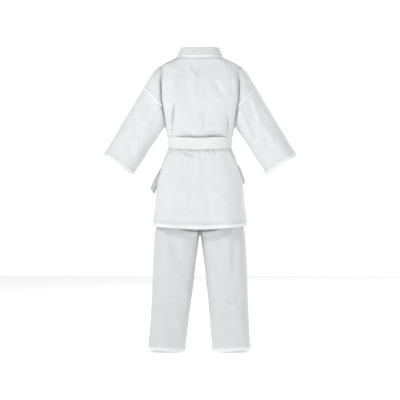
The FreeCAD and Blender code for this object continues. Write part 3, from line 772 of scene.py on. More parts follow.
def overhang(points):
    """The blouse sinks over the belt's upper edge, except where it stands clear behind."""
    x, y, z = points[..., 0], points[..., 1], points[..., 2]
    strong = smoothstep(x, -0.092, -0.076) * (1 - smoothstep(x, -0.026, -0.012))
    light = smoothstep(x, 0.018, 0.030) * (1 - smoothstep(x, 0.054, 0.070))
    clear = (strong + 0.7 * light) * (y > 0)
    uneven = 0.0012 * np.sin(x * 170) + 0.0008 * np.sin(x * 311 + 1)
    near = smoothstep(z, BELT_HIGH + 0.0005, BELT_HIGH + 0.006)
    near = near * (1 - smoothstep(z, BELT_HIGH + 0.010, BELT_HIGH + 0.034))
    points[..., 2] -= near * (0.0058 * (1 - 0.55 * clear) + uneven)
    return points


def worn(points):
    return overhang(depth_only(points, body_relief(points[..., 0], points[..., 2], points[..., 1])))


def trunk_rows(low, high):
    count = int((high - low) / (0.8 * sizes().mesh)) + 1
    return np.linspace(low, high, count)


def back_surface(low, high, inset=0.0):
    z = trunk_rows(low, high)
    wide, deep, corner = (part[:, None] for part in trunk(z))
    reach = armhole_reach(z)[:, None] - inset
    share = np.linspace(-1, 1, odd_count(0.16))[None, :]
    x, y = ring(wide - inset, deep - inset, corner - inset, reach * share)
    return worn(grid(x, y, z[:, None]))


def front_edge_x(z):
    share = (NECK_Z - z) / (NECK_Z - (BELT_LOW + BELT_HIGH) / 2)
    return 0.082 - share * (0.082 + sizes().overlap)


def front_surface(side, plies, low, high):
    """One front, from its side to the edge that crosses the centre; side is 1 for the wearer's left."""
    z = trunk_rows(low, high)
    wide, deep, corner = trunk(z)
    outer = armhole_reach(z)
    edge = ring_reach(wide, corner, front_edge_x(z))
    edge = np.minimum(edge, outer - 0.003)
    share = np.linspace(0, 1, int(0.22 / sizes().mesh))[None, :]
    reach = outer[:, None] + (edge - outer)[:, None] * share
    inset = plies * 0.0021 * smoothstep(outer[:, None] - reach, 0.0, 0.07)
    x, y = ring(wide[:, None] - inset, deep[:, None] - inset, corner[:, None] - inset, reach)
    return worn(grid(side * x, -y, z[:, None]))


# ---- The arms: the left one, which the right one mirrors ----
ARMPIT = (0.121, 0.792)
SEAM_TOP = (0.196, 0.922)
HEM_OUTER = (0.3376, 0.6863)
HEM_INNER = (0.2350, 0.6180)
SEAM_TURN = math.radians(46)


def part_way(start, end, share):
    return tuple(a + (b - a) * share for a, b in zip(start, end))


def arm_grid(rows, columns):
    """Tube from the armhole to the hem. Columns go from below, up the back and down the front."""
    angle = np.linspace(0, 2 * np.pi, columns)
    power = 2 / 2.5
    rise = -np.sign(np.cos(angle)) * np.abs(np.cos(angle)) ** power
    depth = np.sign(np.sin(angle)) * np.abs(np.sin(angle)) ** power
    z = ARMHOLE_LOW + (ARMHOLE_HIGH - ARMHOLE_LOW) * (1 - np.cos(angle)) / 2
    wide, deep, corner = trunk(z)
    x, y = ring(wide, deep, corner, armhole_reach(z))
    rings = [grid(x, y * np.sign(np.sin(angle) + 1e-9), z)]
    for top, bottom, half_depth in (
            ((0.147, 0.993), part_way(ARMPIT, HEM_INNER, 0.03), 0.064),
            ((0.166, 0.973), part_way(ARMPIT, HEM_INNER, 0.07), 0.063),
            (SEAM_TOP, part_way(ARMPIT, HEM_INNER, 0.17), 0.058),
            (part_way(SEAM_TOP, HEM_OUTER, 0.33), part_way(ARMPIT, HEM_INNER, 0.42), 0.053),
            (part_way(SEAM_TOP, HEM_OUTER, 0.66), part_way(ARMPIT, HEM_INNER, 0.70), 0.050),
            (HEM_OUTER, HEM_INNER, 0.048)):
        top, bottom = np.array(top), np.array(bottom)
        middle, half = (top + bottom) / 2, (top - bottom) / 2
        flat = middle[None, :] + half[None, :] * rise[:, None]
        rings.append(grid(flat[:, 0], half_depth * depth, flat[:, 1]))
    rings = np.array(rings)
    return np.stack([curve(rings[:, k], rows) for k in range(columns)], axis=1)


def slide(tube, start, end, rows):
    """Grid between two rows' positions of a tube, given for each column as shares of its length."""
    count = tube.shape[0] - 1
    share = start[None, :] + (end - start)[None, :] * np.linspace(0, 1, rows)[:, None]
    place = np.clip(share * count, 0, count - 1e-6)
    low = place.astype(int)
    part = (place - low)[..., None]
    column = np.arange(tube.shape[1])[None, :]
    return tube[low, column] * (1 - part) + tube[low + 1, column] * part


def seam_shares(tube, shift=0.0):
    """For each column, the share of its length at which the sleeve's seam crosses it."""
    beside, above = tube[..., 0] - SEAM_TOP[0], tube[..., 2] - SEAM_TOP[1]
    away = beside * math.sin(SEAM_TURN) - above * math.cos(SEAM_TURN) - shift
    past = away > 0
    first = np.argmax(past, axis=0)
    column = np.arange(tube.shape[1])
    before = np.maximum(first - 1, 0)
    gap = away[first, column] - away[before, column]
    part = np.where(first > 0, -away[before, column] / np.where(gap == 0, 1, gap), 0)
    return np.where(first > 0, (before + part) / (tube.shape[0] - 1), 0.0)


def hem_shares(tube, depth):
    """For each column, the share of its length at a distance above the hem."""
    steps = np.linalg.norm(np.diff(tube, axis=0), axis=2)
    left = np.cumsum(steps[::-1], axis=0)[::-1]
    left = np.vstack([left, np.zeros((1, left.shape[1]))])
    shares = np.linspace(0, 1, tube.shape[0])
    return np.array([np.interp(-depth, -left[:, k], shares) for k in range(tube.shape[1])])


def arm_relief(points, side):
    """Folds of an arm: the jacket's own, and ripples round the sleeve."""
    spot = points.copy()
    spot[..., 0] *= side
    return depth_only(points, body_relief(spot[..., 0], spot[..., 2], spot[..., 1]))


# ---- The skirt ----
SKIRT_Z = np.array([0.429, 0.437, 0.508, 0.532, 0.560, 0.585, 0.605, 0.629, 0.659, 0.690, 0.704, 0.7085,
                    0.714, 0.730])
SKIRT_WIDE = np.array([1645, 1640, 1565, 1545, 1520, 1480, 1440, 1385, 1320, 1210, 1160, 1120,
                       1070, 1050]) * 0.1 * MM
SKIRT_DEEP = np.array([980, 975, 955, 948, 936, 924, 912, 896, 878, 850, 812, 775, 750, 745]) * 0.1 * MM
BACK_EDGE_Z = np.array([0.545, 0.565, 0.587, 0.609, 0.641, 0.668, 0.700, 0.720])
BACK_EDGE_X = np.array([0.170, 0.1502, 0.1455, 0.139, 0.1295, 0.1185, 0.100, 0.093])


def skirt(z):
    wide = flow(z, SKIRT_Z, SKIRT_WIDE, 0.005)
    deep = flow(z, SKIRT_Z, SKIRT_DEEP, 0.005)
    return wide, deep, deep * 0.82


def back_reach(z, section):
    """Distance along the section to the back panel's side edge, which runs inwards towards the belt."""
    wide, deep, corner = section
    side = side_reach(wide, deep, corner) - 0.003
    edge = np.minimum(flow(z, BACK_EDGE_Z, BACK_EDGE_X, 0.004), wide - 1e-5)
    at_edge = ring_reach(wide, corner, edge)
    return at_edge + (side - at_edge) * (1 - smoothstep(z, 0.540, 0.575))


def hem_rise(x):
    return 0.009 * np.clip(np.abs(x) / 0.160, 0, 1) ** 1.6


def skirt_relief(x, z, y):
    loose = 1 - smoothstep(z, 0.560, 0.700)
    fine = ripple(x, z, 31, 0.075, 0.95, 0.1, 0.55) * (0.35 + 0.65 * loose)
    fine = fine + ripple(x, z, 37, 0.024, 0.18, 0.0, 0.8)
    gather = ripple(x, z, 41, 0.022, 0.4, 0.3, 0.3) * smoothstep(z, 0.650, 0.700)
    table = folded(x, z, SKIRT_FOLDS)
    return np.where(y > 0, table, 0.7 * folded(-x, z, SKIRT_FOLDS)) + fine + gather


# Painted shade of the skirt from its table of lines: under the belt and in the gathers, with painted
# highlights on ridges
def skirt_painted_shading(points):
    return painted_shading(points[..., 0], points[..., 2], SKIRT_SHADE_LINES)


def beside_back_painted_shadow(points):
    """Painted shadow on the front's strip beside the back panel: a dark line next to the edge, and painted
    shade along the strip, added to the skirt's painted shade.
    """
    x, y, z = np.abs(points[..., 0]), points[..., 1], points[..., 2]
    away = x - flow(z, BACK_EDGE_Z, BACK_EDGE_X, 0.004)
    low = 1 - smoothstep(z, 0.640, 0.668)
    line = (0.28 + 0.44 * low) * np.exp(-((away - 0.0020) / (0.0022 + 0.0010 * low)) ** 2)
    strip = 0.04 * smoothstep(y, -0.030, 0.010)
    return (line * (y > 0) + strip) * smoothstep(z, 0.575, 0.592) + skirt_painted_shading(points)


def skirt_back(z_rows, start, end, columns, lift=0.0):
    """The back panel, from start to end in from its side edges; a negative end counts from the first edge."""
    z = z_rows[:, None]
    wide, deep, corner = skirt(z)
    side = back_reach(z, (wide, deep, corner))
    first = -side + start
    last = side - end if end >= 0 else -side - end
    reach = first + (last - first) * np.linspace(0, 1, columns)[None, :]
    stand = 0.0045 * smoothstep(np.abs(reach), side - 0.040, side - 0.004) * smoothstep(z, 0.550, 0.610)
    stand = stand * (1 - smoothstep(z, 0.690, 0.708)) + lift
    x, y = ring(wide + stand, deep + stand, corner + stand, reach)
    return hung(grid(x, y, z))


def front_skirt_edge(z):
    """Where the wearer's left front ends on the right one, below the belt."""
    return -0.062 - 0.012 * (BELT_LOW - z) / BELT_LOW


def skirt_front(z_rows, side, plies, columns):
    """One front of the skirt: it passes under the back panel's edge and crosses the centre in front."""
    z = z_rows[:, None]
    wide, deep, corner = skirt(z)
    full = side_reach(wide, deep, corner)
    past = 0.004 + (full - back_reach(z, (wide, deep, corner)) + 0.012) * smoothstep(z, 0.545, 0.590)
    start = full + past * smoothstep(z, 0.540, 0.580) - 0.003
    edge = front_skirt_edge(z)
    reach = start + (edge - start) * np.linspace(0, 1, columns)[None, :]
    under = 0.0030 * smoothstep(reach - full, -0.030, 0.006) * smoothstep(z, 0.545, 0.590)
    lower = plies * 0.0021 * smoothstep(full - reach, 0.0, 0.06) + under
    x, y = ring(wide - lower, deep - lower, corner - lower, np.minimum(reach, full))
    turned = np.maximum(reach - full, 0)
    back_x, back_y = ring(wide - lower, deep - lower, corner - lower, full - turned)
    x = np.where(reach > full, back_x, x)
    y = np.where(reach > full, back_y, -y)
    return hung(grid(side * x, y, z))


def hung(points):
    """The skirt's cloth with its folds; its bottom rows rise from the middle to the sides."""
    near = 1 - smoothstep(points[..., 2], HEM_Z, HEM_Z + 0.10)
    points[..., 2] += hem_rise(points[..., 0]) * near
    return depth_only(points, skirt_relief(points[..., 0], points[..., 2], points[..., 1]))


# ---- The trousers ----
CROTCH_Z = 0.404
LEG_Z = np.array([0.0, 0.050, 0.180, 0.300, 0.404, 0.440, 0.566, 0.690, 0.730])
LEG_OUTER = np.array([0.1785, 0.1755, 0.168, 0.1645, 0.1590, 0.152, 0.1195, 0.0955, 0.0950])
LEG_INNER = np.array([0.047, 0.0425, 0.030, 0.016, 0.0030, 0.0006, 0.0006, 0.0006, 0.0006])
LEG_DEEP = np.array([0.060, 0.060, 0.062, 0.065, 0.068, 0.069, 0.074, 0.064, 0.0635])


def leg_surface(z_rows, side, columns):
    """One leg with its half of the seat, from the centre seam behind, round the outside, to the front one."""
    z = z_rows[:, None]
    outer = flow(z, LEG_Z, LEG_OUTER, 0.012) + side * 0.002 * smoothstep(z, 0.2, 0.0)
    shift = 0.004 if side > 0 else -0.003
    inner = flow(z, LEG_Z, LEG_INNER, 0.004) + shift * (1 - smoothstep(z, 0.0, 0.25))
    deep = flow(z, LEG_Z, LEG_DEEP, 0.015)
    drop = np.clip((0.520 - z) / (0.520 - CROTCH_Z), 0, 1)
    centre_depth = deep * np.sqrt(np.clip(1 - drop ** 2, 0, 1))
    middle = (inner + outer) / 2
    power = 2 / 2.6
    turn = np.linspace(0, 2 * np.pi, columns)[None, :]
    sine, cosine = np.abs(np.sin(turn)) ** power, np.abs(np.cos(turn)) ** power
    quarter = np.floor(turn / (np.pi / 2) + 1e-9).clip(0, 3)
    inside = (quarter == 0) | (quarter == 3)
    x = np.where(inside, middle - (middle - inner) * cosine, middle + (outer - middle) * cosine)
    y = np.where(inside, centre_depth + (deep - centre_depth) * sine, deep * sine)
    y = np.where(turn > np.pi, -y, y)
    return grid(side * x, y, z)


def leg_relief(points, side):
    x, y, z = points[..., 0], points[..., 1], points[..., 2]
    own, other = (LEG_FOLDS, RIGHT_LEG_FOLDS) if side > 0 else (RIGHT_LEG_FOLDS, LEG_FOLDS)
    behind = folded(np.abs(x), z, own)
    ahead = 0.9 * folded(np.abs(x), z, other)
    fine = ripple(x, z, 53 + int(side), 0.070, 1.25, 0.1, 0.45) + ripple(x, z, 57, 0.024, 0.15, 0.0, 0.9)
    return depth_only(points, np.where(y > 0, behind, ahead) + fine)


def leg_points(z_rows, side, columns):
    """One leg's cloth with its folds; its hem rises to the outside."""
    points = leg_surface(z_rows, side, columns)
    across = (np.abs(points[..., 0]) - 0.047) / 0.130
    points[..., 2] += 0.010 * np.clip(across, 0, 1) * (1 - smoothstep(points[..., 2], 0.0, 0.12))
    return leg_relief(points, side)


# ---- Operators ----
class UNIFORM_OT_back_bodice(bpy.types.Operator):
    """Back of the jacket above the belt, with its yoke lining"""

    bl_idname = "uniform.back_bodice"
    bl_label = "Back bodice"

    def execute(self, context):
        points = back_surface(BELT_LOW + 0.003, NECK_Z)
        thing = grid_object("back_bodice", points, core=TRUNK_CORE, deep=jacket_painted_shading(points))
        finish_cloth(thing, sizes().cloth, canvas())
        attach(thing, "jacket")
        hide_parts("back_panel")
        points = back_surface(NECK_Z - 0.090, NECK_Z - 0.002, inset=0.0026)
        points = points - normals(points, core=(0, 0, 0.95)) * 0.0008
        lining = grid_object("yoke_lining", points, core=TRUNK_CORE)
        finish_cloth(lining, sizes().cloth, canvas())
        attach(lining, "jacket")
        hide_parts("shoulder_yoke")
        return {"FINISHED"}


class UNIFORM_OT_fronts(bpy.types.Operator):
    """Both fronts of the jacket above the belt: the wearer's left lies over the right"""

    bl_idname = "uniform.fronts"
    bl_label = "Fronts"

    def execute(self, context):
        for name, side, plies in (("front_left", 1, 0), ("front_right", -1, 3)):
            points = front_surface(side, plies, BELT_LOW + 0.003, NECK_Z)
            thing = grid_object(name, points, core=TRUNK_CORE, deep=front_painted_shading(points, side))
            finish_cloth(thing, sizes().cloth, canvas())
            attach(thing, "jacket")
            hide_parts("front_panel_" + name.split("_")[1])
        return {"FINISHED"}


def edge_line(side, heights, inset, shift_x=0.0, shift_z=0.0):
    """Points on a front's surface beside its edge."""
    z = np.array(heights) + shift_z
    wide, deep, corner = trunk(z)
    x = front_edge_x(np.array(heights)) + shift_x
    reach = ring_reach(wide, corner, x)
    px, py = ring(wide + inset, deep + inset, corner + inset, reach)
    return grid(side * px, -py, z)


class UNIFORM_OT_collar(bpy.types.Operator):
    """One quilted band: it stands behind the neck and lies along both fronts as the lapels"""

    bl_idname = "uniform.collar"
    bl_label = "Collar and lapels"

    def execute(self, context):
        heights = np.linspace(BELT_HIGH + 0.006, 0.985, 9)
        free, sewn = [], []
        for side, lift in ((1, 0.0046), (-1, -0.0012)):
            if side < 0:
                lift = lift - 0.0044 * (1 - smoothstep(heights, 0.850, 0.905))
            edge = edge_line(side, heights, lift, -0.001)
            seam = edge_line(side, heights, lift, 0.0324, -0.0158)
            seam[0, 2] = max(seam[0, 2], BELT_HIGH + 0.002)
            turn_free = np.array([(71, -56, 1000), (72.5, -44, 1011), (73, -27, 1026), (71, -6, 1045),
                                  (67, 12, 1060), (57, 32, 1062), (32, 43, 1062)], float) * MM
            turn_sewn = np.array([(103, -54, 986), (105, -40, 994), (101, -24, 1006), (90, -4, 1017),
                                  (80, 14, 1024), (67, 38, 1025), (36, 49.5, 1025)], float) * MM
            turn_free[:, 0] *= side
            turn_sewn[:, 0] *= side
            free.append(np.vstack([edge, turn_free]))
            sewn.append(np.vstack([seam, turn_sewn]))
        middle_free, middle_sewn = np.array([[0, 0.044, 1.062]]), np.array([[0, 0.0505, 1.0245]])
        free = np.vstack([free[0], middle_free, free[1][::-1]])
        sewn = np.vstack([sewn[0], middle_sewn, sewn[1][::-1]])
        run = 1.02
        count = int(run / (0.8 * sizes().mesh))
        top, bottom = curve(free, count), curve(sewn, count)
        across = np.linspace(0, 1, 19)[None, :, None]
        points = top[:, None, :] * (1 - across) + bottom[:, None, :] * across
        core = np.array([0, 0, 0.9])
        out = normals(points, core)
        rows = np.abs(np.sin(np.pi * (across[..., 0] * 36 - 4) / 7.0))
        crown = np.sin(np.pi * np.clip(across[..., 0], 0.0, 1)) ** 0.5
        length = np.linspace(0, run, count)[:, None]
        pucker = ripple(length, across[..., 0] * 0.036, 71, 0.022, 0.22, 0.0, 0.4)
        points = points + out * (0.0010 * crown + 0.0005 * rows + pucker)[..., None]
        thing = grid_object("collar_and_lapels", points, core, (length, across[..., 0] * 0.0365))
        finish_cloth(thing, sizes().collar, collar_cloth(), merge=False)
        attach(thing, "jacket")
        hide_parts("collar_band", "collar_core", "lapel_left", "lapel_right")
        return {"FINISHED"}


class UNIFORM_OT_sleeves(bpy.types.Operator):
    """Drop shoulders, sleeves, seam tapes and sleeve hems"""

    bl_idname = "uniform.sleeves"
    bl_label = "Sleeves"

    def execute(self, context):
        size = sizes()
        columns = odd_count(0.20)
        tube = arm_grid(160, columns)
        seam = seam_shares(tube)
        hem = hem_shares(tube, size.hem)
        whole = np.ones(columns)
        for word, side in (("left", 1), ("right", -1)):
            body = "sleeve_arm_" + word
            cap_columns = np.flatnonzero(seam > 0.004)
            cap = tube[:, cap_columns]
            points = slide(cap, seam[cap_columns] * 0, seam[cap_columns], 26)
            points = self.mirror(arm_relief(points, side), side)
            shoulder = grid_object("drop_shoulder_" + word + "_cloth", points, deep=jacket_painted_shading(points))
            finish_cloth(shoulder, size.cloth, canvas())
            self.hinge(shoulder, body, side)
            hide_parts("drop_shoulder_" + word)

            points = slide(tube, seam, hem, int(0.30 / size.mesh))
            points = arm_relief(points, side)
            around = np.linspace(0, 0.36, columns)[None, :]
            along = np.linspace(0, 0.28, points.shape[0])[:, None]
            wrinkles = ripple(around, along, 61 + side, 0.050, 0.55, 0.0, 0.4)
            points = swell(points, bulge(len(points), 0.0) * wrinkles)
            points = self.mirror(points, side)
            sleeve = grid_object("sleeve_" + word + "_cloth", points, deep=jacket_painted_shading(points))
            finish_cloth(sleeve, size.cloth, canvas())
            self.hinge(sleeve, body, side)
            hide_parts("sleeve_" + word)

            points = slide(tube, hem - 0.002, whole, 9)
            points = arm_relief(points, side)
            pucker = ripple(around, np.linspace(0, size.hem, 9)[:, None], 67 + side, 0.016, 0.35, 0.0, 0.4)
            edge = bulge(9, 0.06)
            points = swell(points, 0.0006 + 0.0008 * edge + pucker * edge)
            band = grid_object("sleeve_hem_" + word + "_band", self.mirror(points, side), None,
                               (around, np.linspace(size.hem, 0, 9)[:, None]))
            finish_cloth(band, size.folded, hem_cloth())
            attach(band, body)
            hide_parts("sleeve_hem_" + word)

            half = size.tape / 2
            points = slide(cap, seam_shares(cap, -half), seam_shares(cap, half), 6)
            points = arm_relief(points, side)
            crown = bulge(6, 0.0, 0.6)
            length = np.linspace(0, 0.28, points.shape[1])[None, :]
            bumps = ripple(length, 0 * length, 73 + side, 0.014, 0.3, 0.0, 0.1)
            points = swell(points, 0.0006 + 0.0012 * crown + bumps * crown)
            tape = grid_object("seam_tape_" + word, self.mirror(points, side), None,
                               (length, np.linspace(0, size.tape, 6)[:, None]))
            finish_cloth(tape, size.cloth, tape_cloth())
            self.hinge(tape, body, side)
            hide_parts("sleeve_seam_tape_" + word)
        return {"FINISHED"}

    @staticmethod
    def hinge(thing, body, side):
        """Bakes the arm's cloth's transform into its mesh."""
        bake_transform(thing)

    @staticmethod
    def mirror(points, side):
        return points * np.array([side, 1, 1])


class UNIFORM_OT_skirt(bpy.types.Operator):
    """The jacket below the belt: back panel, both fronts, their hems and the vents' facings"""

    bl_idname = "uniform.skirt"
    bl_label = "Skirt"

    def execute(self, context):
        size = sizes()
        rows = np.linspace(HEM_Z + size.hem, BELT_LOW + 0.008, int(0.28 / size.mesh))
        low_rows = np.linspace(HEM_Z, HEM_Z + size.hem + 0.001, 8)
        columns = odd_count(0.20)
        points = skirt_back(rows, 0, 0, columns)
        back = grid_object("back_skirt_cloth", points, core=SKIRT_CORE, deep=skirt_painted_shading(points))
        finish_cloth(back, size.cloth, skirt_cloth())
        self.hinge(back, "back_skirt_panel")
        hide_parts("back_skirt")
        self.band("back_hem_band", skirt_back(low_rows, 0, 0, columns), 0.46, "back_skirt_panel", "back_hem",
                  back)
        edge_rows = np.linspace(HEM_Z + size.hem, BELT_LOW + 0.002, int(0.28 / size.mesh))
        for word, mirror in (("left", -1), ("right", 1)):
            points = skirt_back(edge_rows, -0.0004, -0.0082, 5, 0.0009) * np.array([mirror, 1, 1])
            length = np.linspace(0, 0.265, len(edge_rows))[:, None]
            points[..., 1] += ripple(length, 0 * length, 87 + mirror, 0.02, 0.2, 0.0, 0.1)
            facing = grid_object("vent_facing_" + word, points, SKIRT_CORE,
                                 (length, np.linspace(0, 0.0082, 5)[None, :]))
            finish_cloth(facing, size.cloth, facing_cloth())
            self.hinge(facing, "back_skirt_panel")
        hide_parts("back_vent_facings")
        for word, side, plies in (("left", 1, 0), ("right", -1, 2)):
            columns = odd_count(0.15)
            points = skirt_front(rows, side, plies, columns)
            # Painted shade on this front: shadow beside the back panel's edge, and on the right front a
            # painted shadow where the left front's edge covers it
            deep = beside_back_painted_shadow(points)
            if side < 0:
                under = front_skirt_edge(points[..., 2]) - points[..., 0]
                line = 0.40 * np.exp(-((under / 0.0032) ** 2))
                deep = deep + line * (points[..., 1] < 0) * (under > -0.004)
            front = grid_object("front_skirt_" + word + "_cloth", points, core=SKIRT_CORE, deep=deep)
            finish_cloth(front, size.cloth, skirt_cloth())
            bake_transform(front)
            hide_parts("front_skirt_" + word)
            self.band("front_hem_" + word + "_band", skirt_front(low_rows, side, plies, columns), 0.29,
                      "front_skirt", "front_hem_" + word, front)
        return {"FINISHED"}

    @staticmethod
    def hinge(thing, body):
        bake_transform(thing)

    @staticmethod
    def band(name, points, long, body, node, cloth):
        """Turned-up hem on the last rows of a panel."""
        size = sizes()
        rows, columns = points.shape[:2]
        length = np.linspace(0, long, columns)[None, :]
        height = np.linspace(0, size.hem, rows)[:, None]
        edge = bulge(rows)
        pucker = ripple(length, height, 83 + len(name), 0.018, 0.35, 0.0, 0.4)
        core = np.array([0, 0, 0.45])
        points = swell(points, 0.0005 + 0.0008 * edge + pucker * edge, core)
        thing = grid_object(name, points, core, (length, height))
        finish_cloth(thing, size.folded, hem_cloth())
        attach(thing, body)
        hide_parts(node)


def ribbon(name, path, across, width, thickness, material, crown, strips, core=None, deep=None):
    """A band of cloth of a width, its middle on a path; across gives its width's direction at each point, and
    deep, where given, its painted shade.
    """
    across = across / np.linalg.norm(across, axis=1, keepdims=True)
    share = np.linspace(-1, 1, strips)[None, :, None]
    points = path[:, None, :] + across[:, None, :] * share * width / 2
    steps = np.linalg.norm(np.diff(path, axis=0), axis=1)
    length = np.concatenate([[0], np.cumsum(steps)])[:, None]
    rows = np.abs(np.sin(np.pi * sizes().belt_rows * (share[..., 0] + 1) / 2))
    lift = crown * (1 - share[..., 0] ** 4) + 0.0003 * rows
    lift = lift + ripple(length, share[..., 0] * width / 2, len(name), 0.03, 0.25, 0.0, 0.5)
    points = swell(points, lift, core)
    thing = grid_object(name, points, core, (length, (share[..., 0] + 1) / 2 * width), deep)
    return finish_cloth(thing, thickness, material)


# Middle lines of the belt's ends, in millimetres, both drawn on the left, and a corner of the belt's section
TAILS = {
    "left": [(4, -109, 706), (45, -111, 688), (88, -107, 664), (124, -98, 636), (146, -87, 609),
             (159, -77, 587), (170.5, -68, 562)],
    "right": [(4, -109, 706), (46, -111, 690), (90, -108, 670), (124, -100, 645), (143, -92, 619),
              (155, -84, 586)],
}
BELT_CORNER = 0.0607 + 0.0056


class UNIFORM_OT_belt(bpy.types.Operator):
    """Both turns of the belt, its knot and its two ends"""

    bl_idname = "uniform.belt"
    bl_label = "Belt"

    def execute(self, context):
        size = sizes()
        middle, width = (BELT_LOW + BELT_HIGH) / 2, BELT_HIGH - BELT_LOW
        wide, deep = BELT_HALF
        for name, inset in (("belt_outer_turn", 0.0), ("belt_inner_turn", 0.0030)):
            corner = BELT_CORNER - inset
            full = side_reach(wide - inset, deep - inset, corner)
            reach = np.linspace(-2 * full, 2 * full, 261)
            folded_back = np.abs(reach) > full
            flipped = np.where(folded_back, np.sign(reach) * (2 * full - np.abs(reach)), reach)
            x, y = ring(wide - inset, deep - inset, corner, flipped)
            y = np.where(folded_back, -y, y)
            wave = ripple(reach, 0 * reach, 91, 0.16, 0.5, 0.0, 0.1) * np.cos(reach * np.pi / 4 / full)
            sag = 0.0045 * np.clip(np.cos(np.clip(x / 0.115, -1, 1) * np.pi / 2), 0, 1) * (y > 0) - 0.0015
            path = grid(x, y, middle + wave - sag)
            across = np.tile(np.array([0, 0, 1.0]), (len(path), 1))
            thing = ribbon(name, path, across, width, size.belt, belt_cloth(), 0.0006, 17,
                           np.array([0, 0, middle]))
            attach(thing, "jacket")
            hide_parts("belt_wrap_outer" if inset == 0 else "belt_wrap_inner")
        self.knot(middle)
        for word, side in (("left", 1), ("right", -1)):
            self.tail(word, side)
        return {"FINISHED"}

    @staticmethod
    def knot(middle):
        centre = np.array([0, -BELT_HALF[1], middle])
        loop = curve([(-2, -3, -21), (-3, -14, -22), (-3, -21, -13), (-1, -23, 0), (2, -21, 13), (4, -13, 21),
                      (4, -2, 21)], 40) * MM + centre
        across = np.tile(np.array([1.0, 0, 0.16]), (len(loop), 1))
        wrap = ribbon("knot_wrap", loop, across, 0.036, 0.0034, belt_cloth(), 0.0012, 15,
                      centre)
        cross = curve([(-32, 1, 6), (-28, -6, 6), (-15, -12, 2), (0, -15, 0), (15, -12, -2), (28, -6, -5),
                       (32, 1, -5)], 40) * MM + centre
        across = np.tile(np.array([0.12, 0, 1.0]), (len(cross), 1))
        under = ribbon("knot_loop", cross, across, 0.034, 0.0034, belt_cloth(), 0.0012, 15,
                       centre)
        for thing in (wrap, under):
            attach(thing, "jacket")
        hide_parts("belt_knot")

    @staticmethod
    def tail(word, side):
        """An end of the belt: it leaves the knot flat, then turns its edge out beside the skirt."""
        path = curve(TAILS[word], 72) * MM
        run = np.gradient(path, axis=0)
        run /= np.linalg.norm(run, axis=1, keepdims=True)
        share = np.linspace(0, 1, len(path))[:, None]
        turn = smoothstep(share, 0.30, 0.95)
        across = np.array([0.45, 0, 0.89]) * (1 - turn) + np.array([0.28, 0.85, 0.44]) * turn
        across = across - run * np.sum(across * run, axis=1, keepdims=True)
        flip = np.array([side, 1, 1])
        # Painted shade on the end's turned part: darker at its inner edge beside the skirt, and on the right
        # end also darker all along that part
        beside = smoothstep(share, 0.35, 0.55)
        inner = (1 - smoothstep(np.linspace(-1, 1, 17)[None, :], -0.40, 0.05)) * beside
        shade = 0.36 * inner if word == "left" else 0.20 * inner + 0.14 * beside
        thing = ribbon("belt_end_" + word, path * flip, across * flip, 0.038, 0.0040, belt_cloth(),
                       0.0007, 17, np.array([0, 0, 0.63]), shade)
        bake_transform(thing)
        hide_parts("belt_tail_" + word)


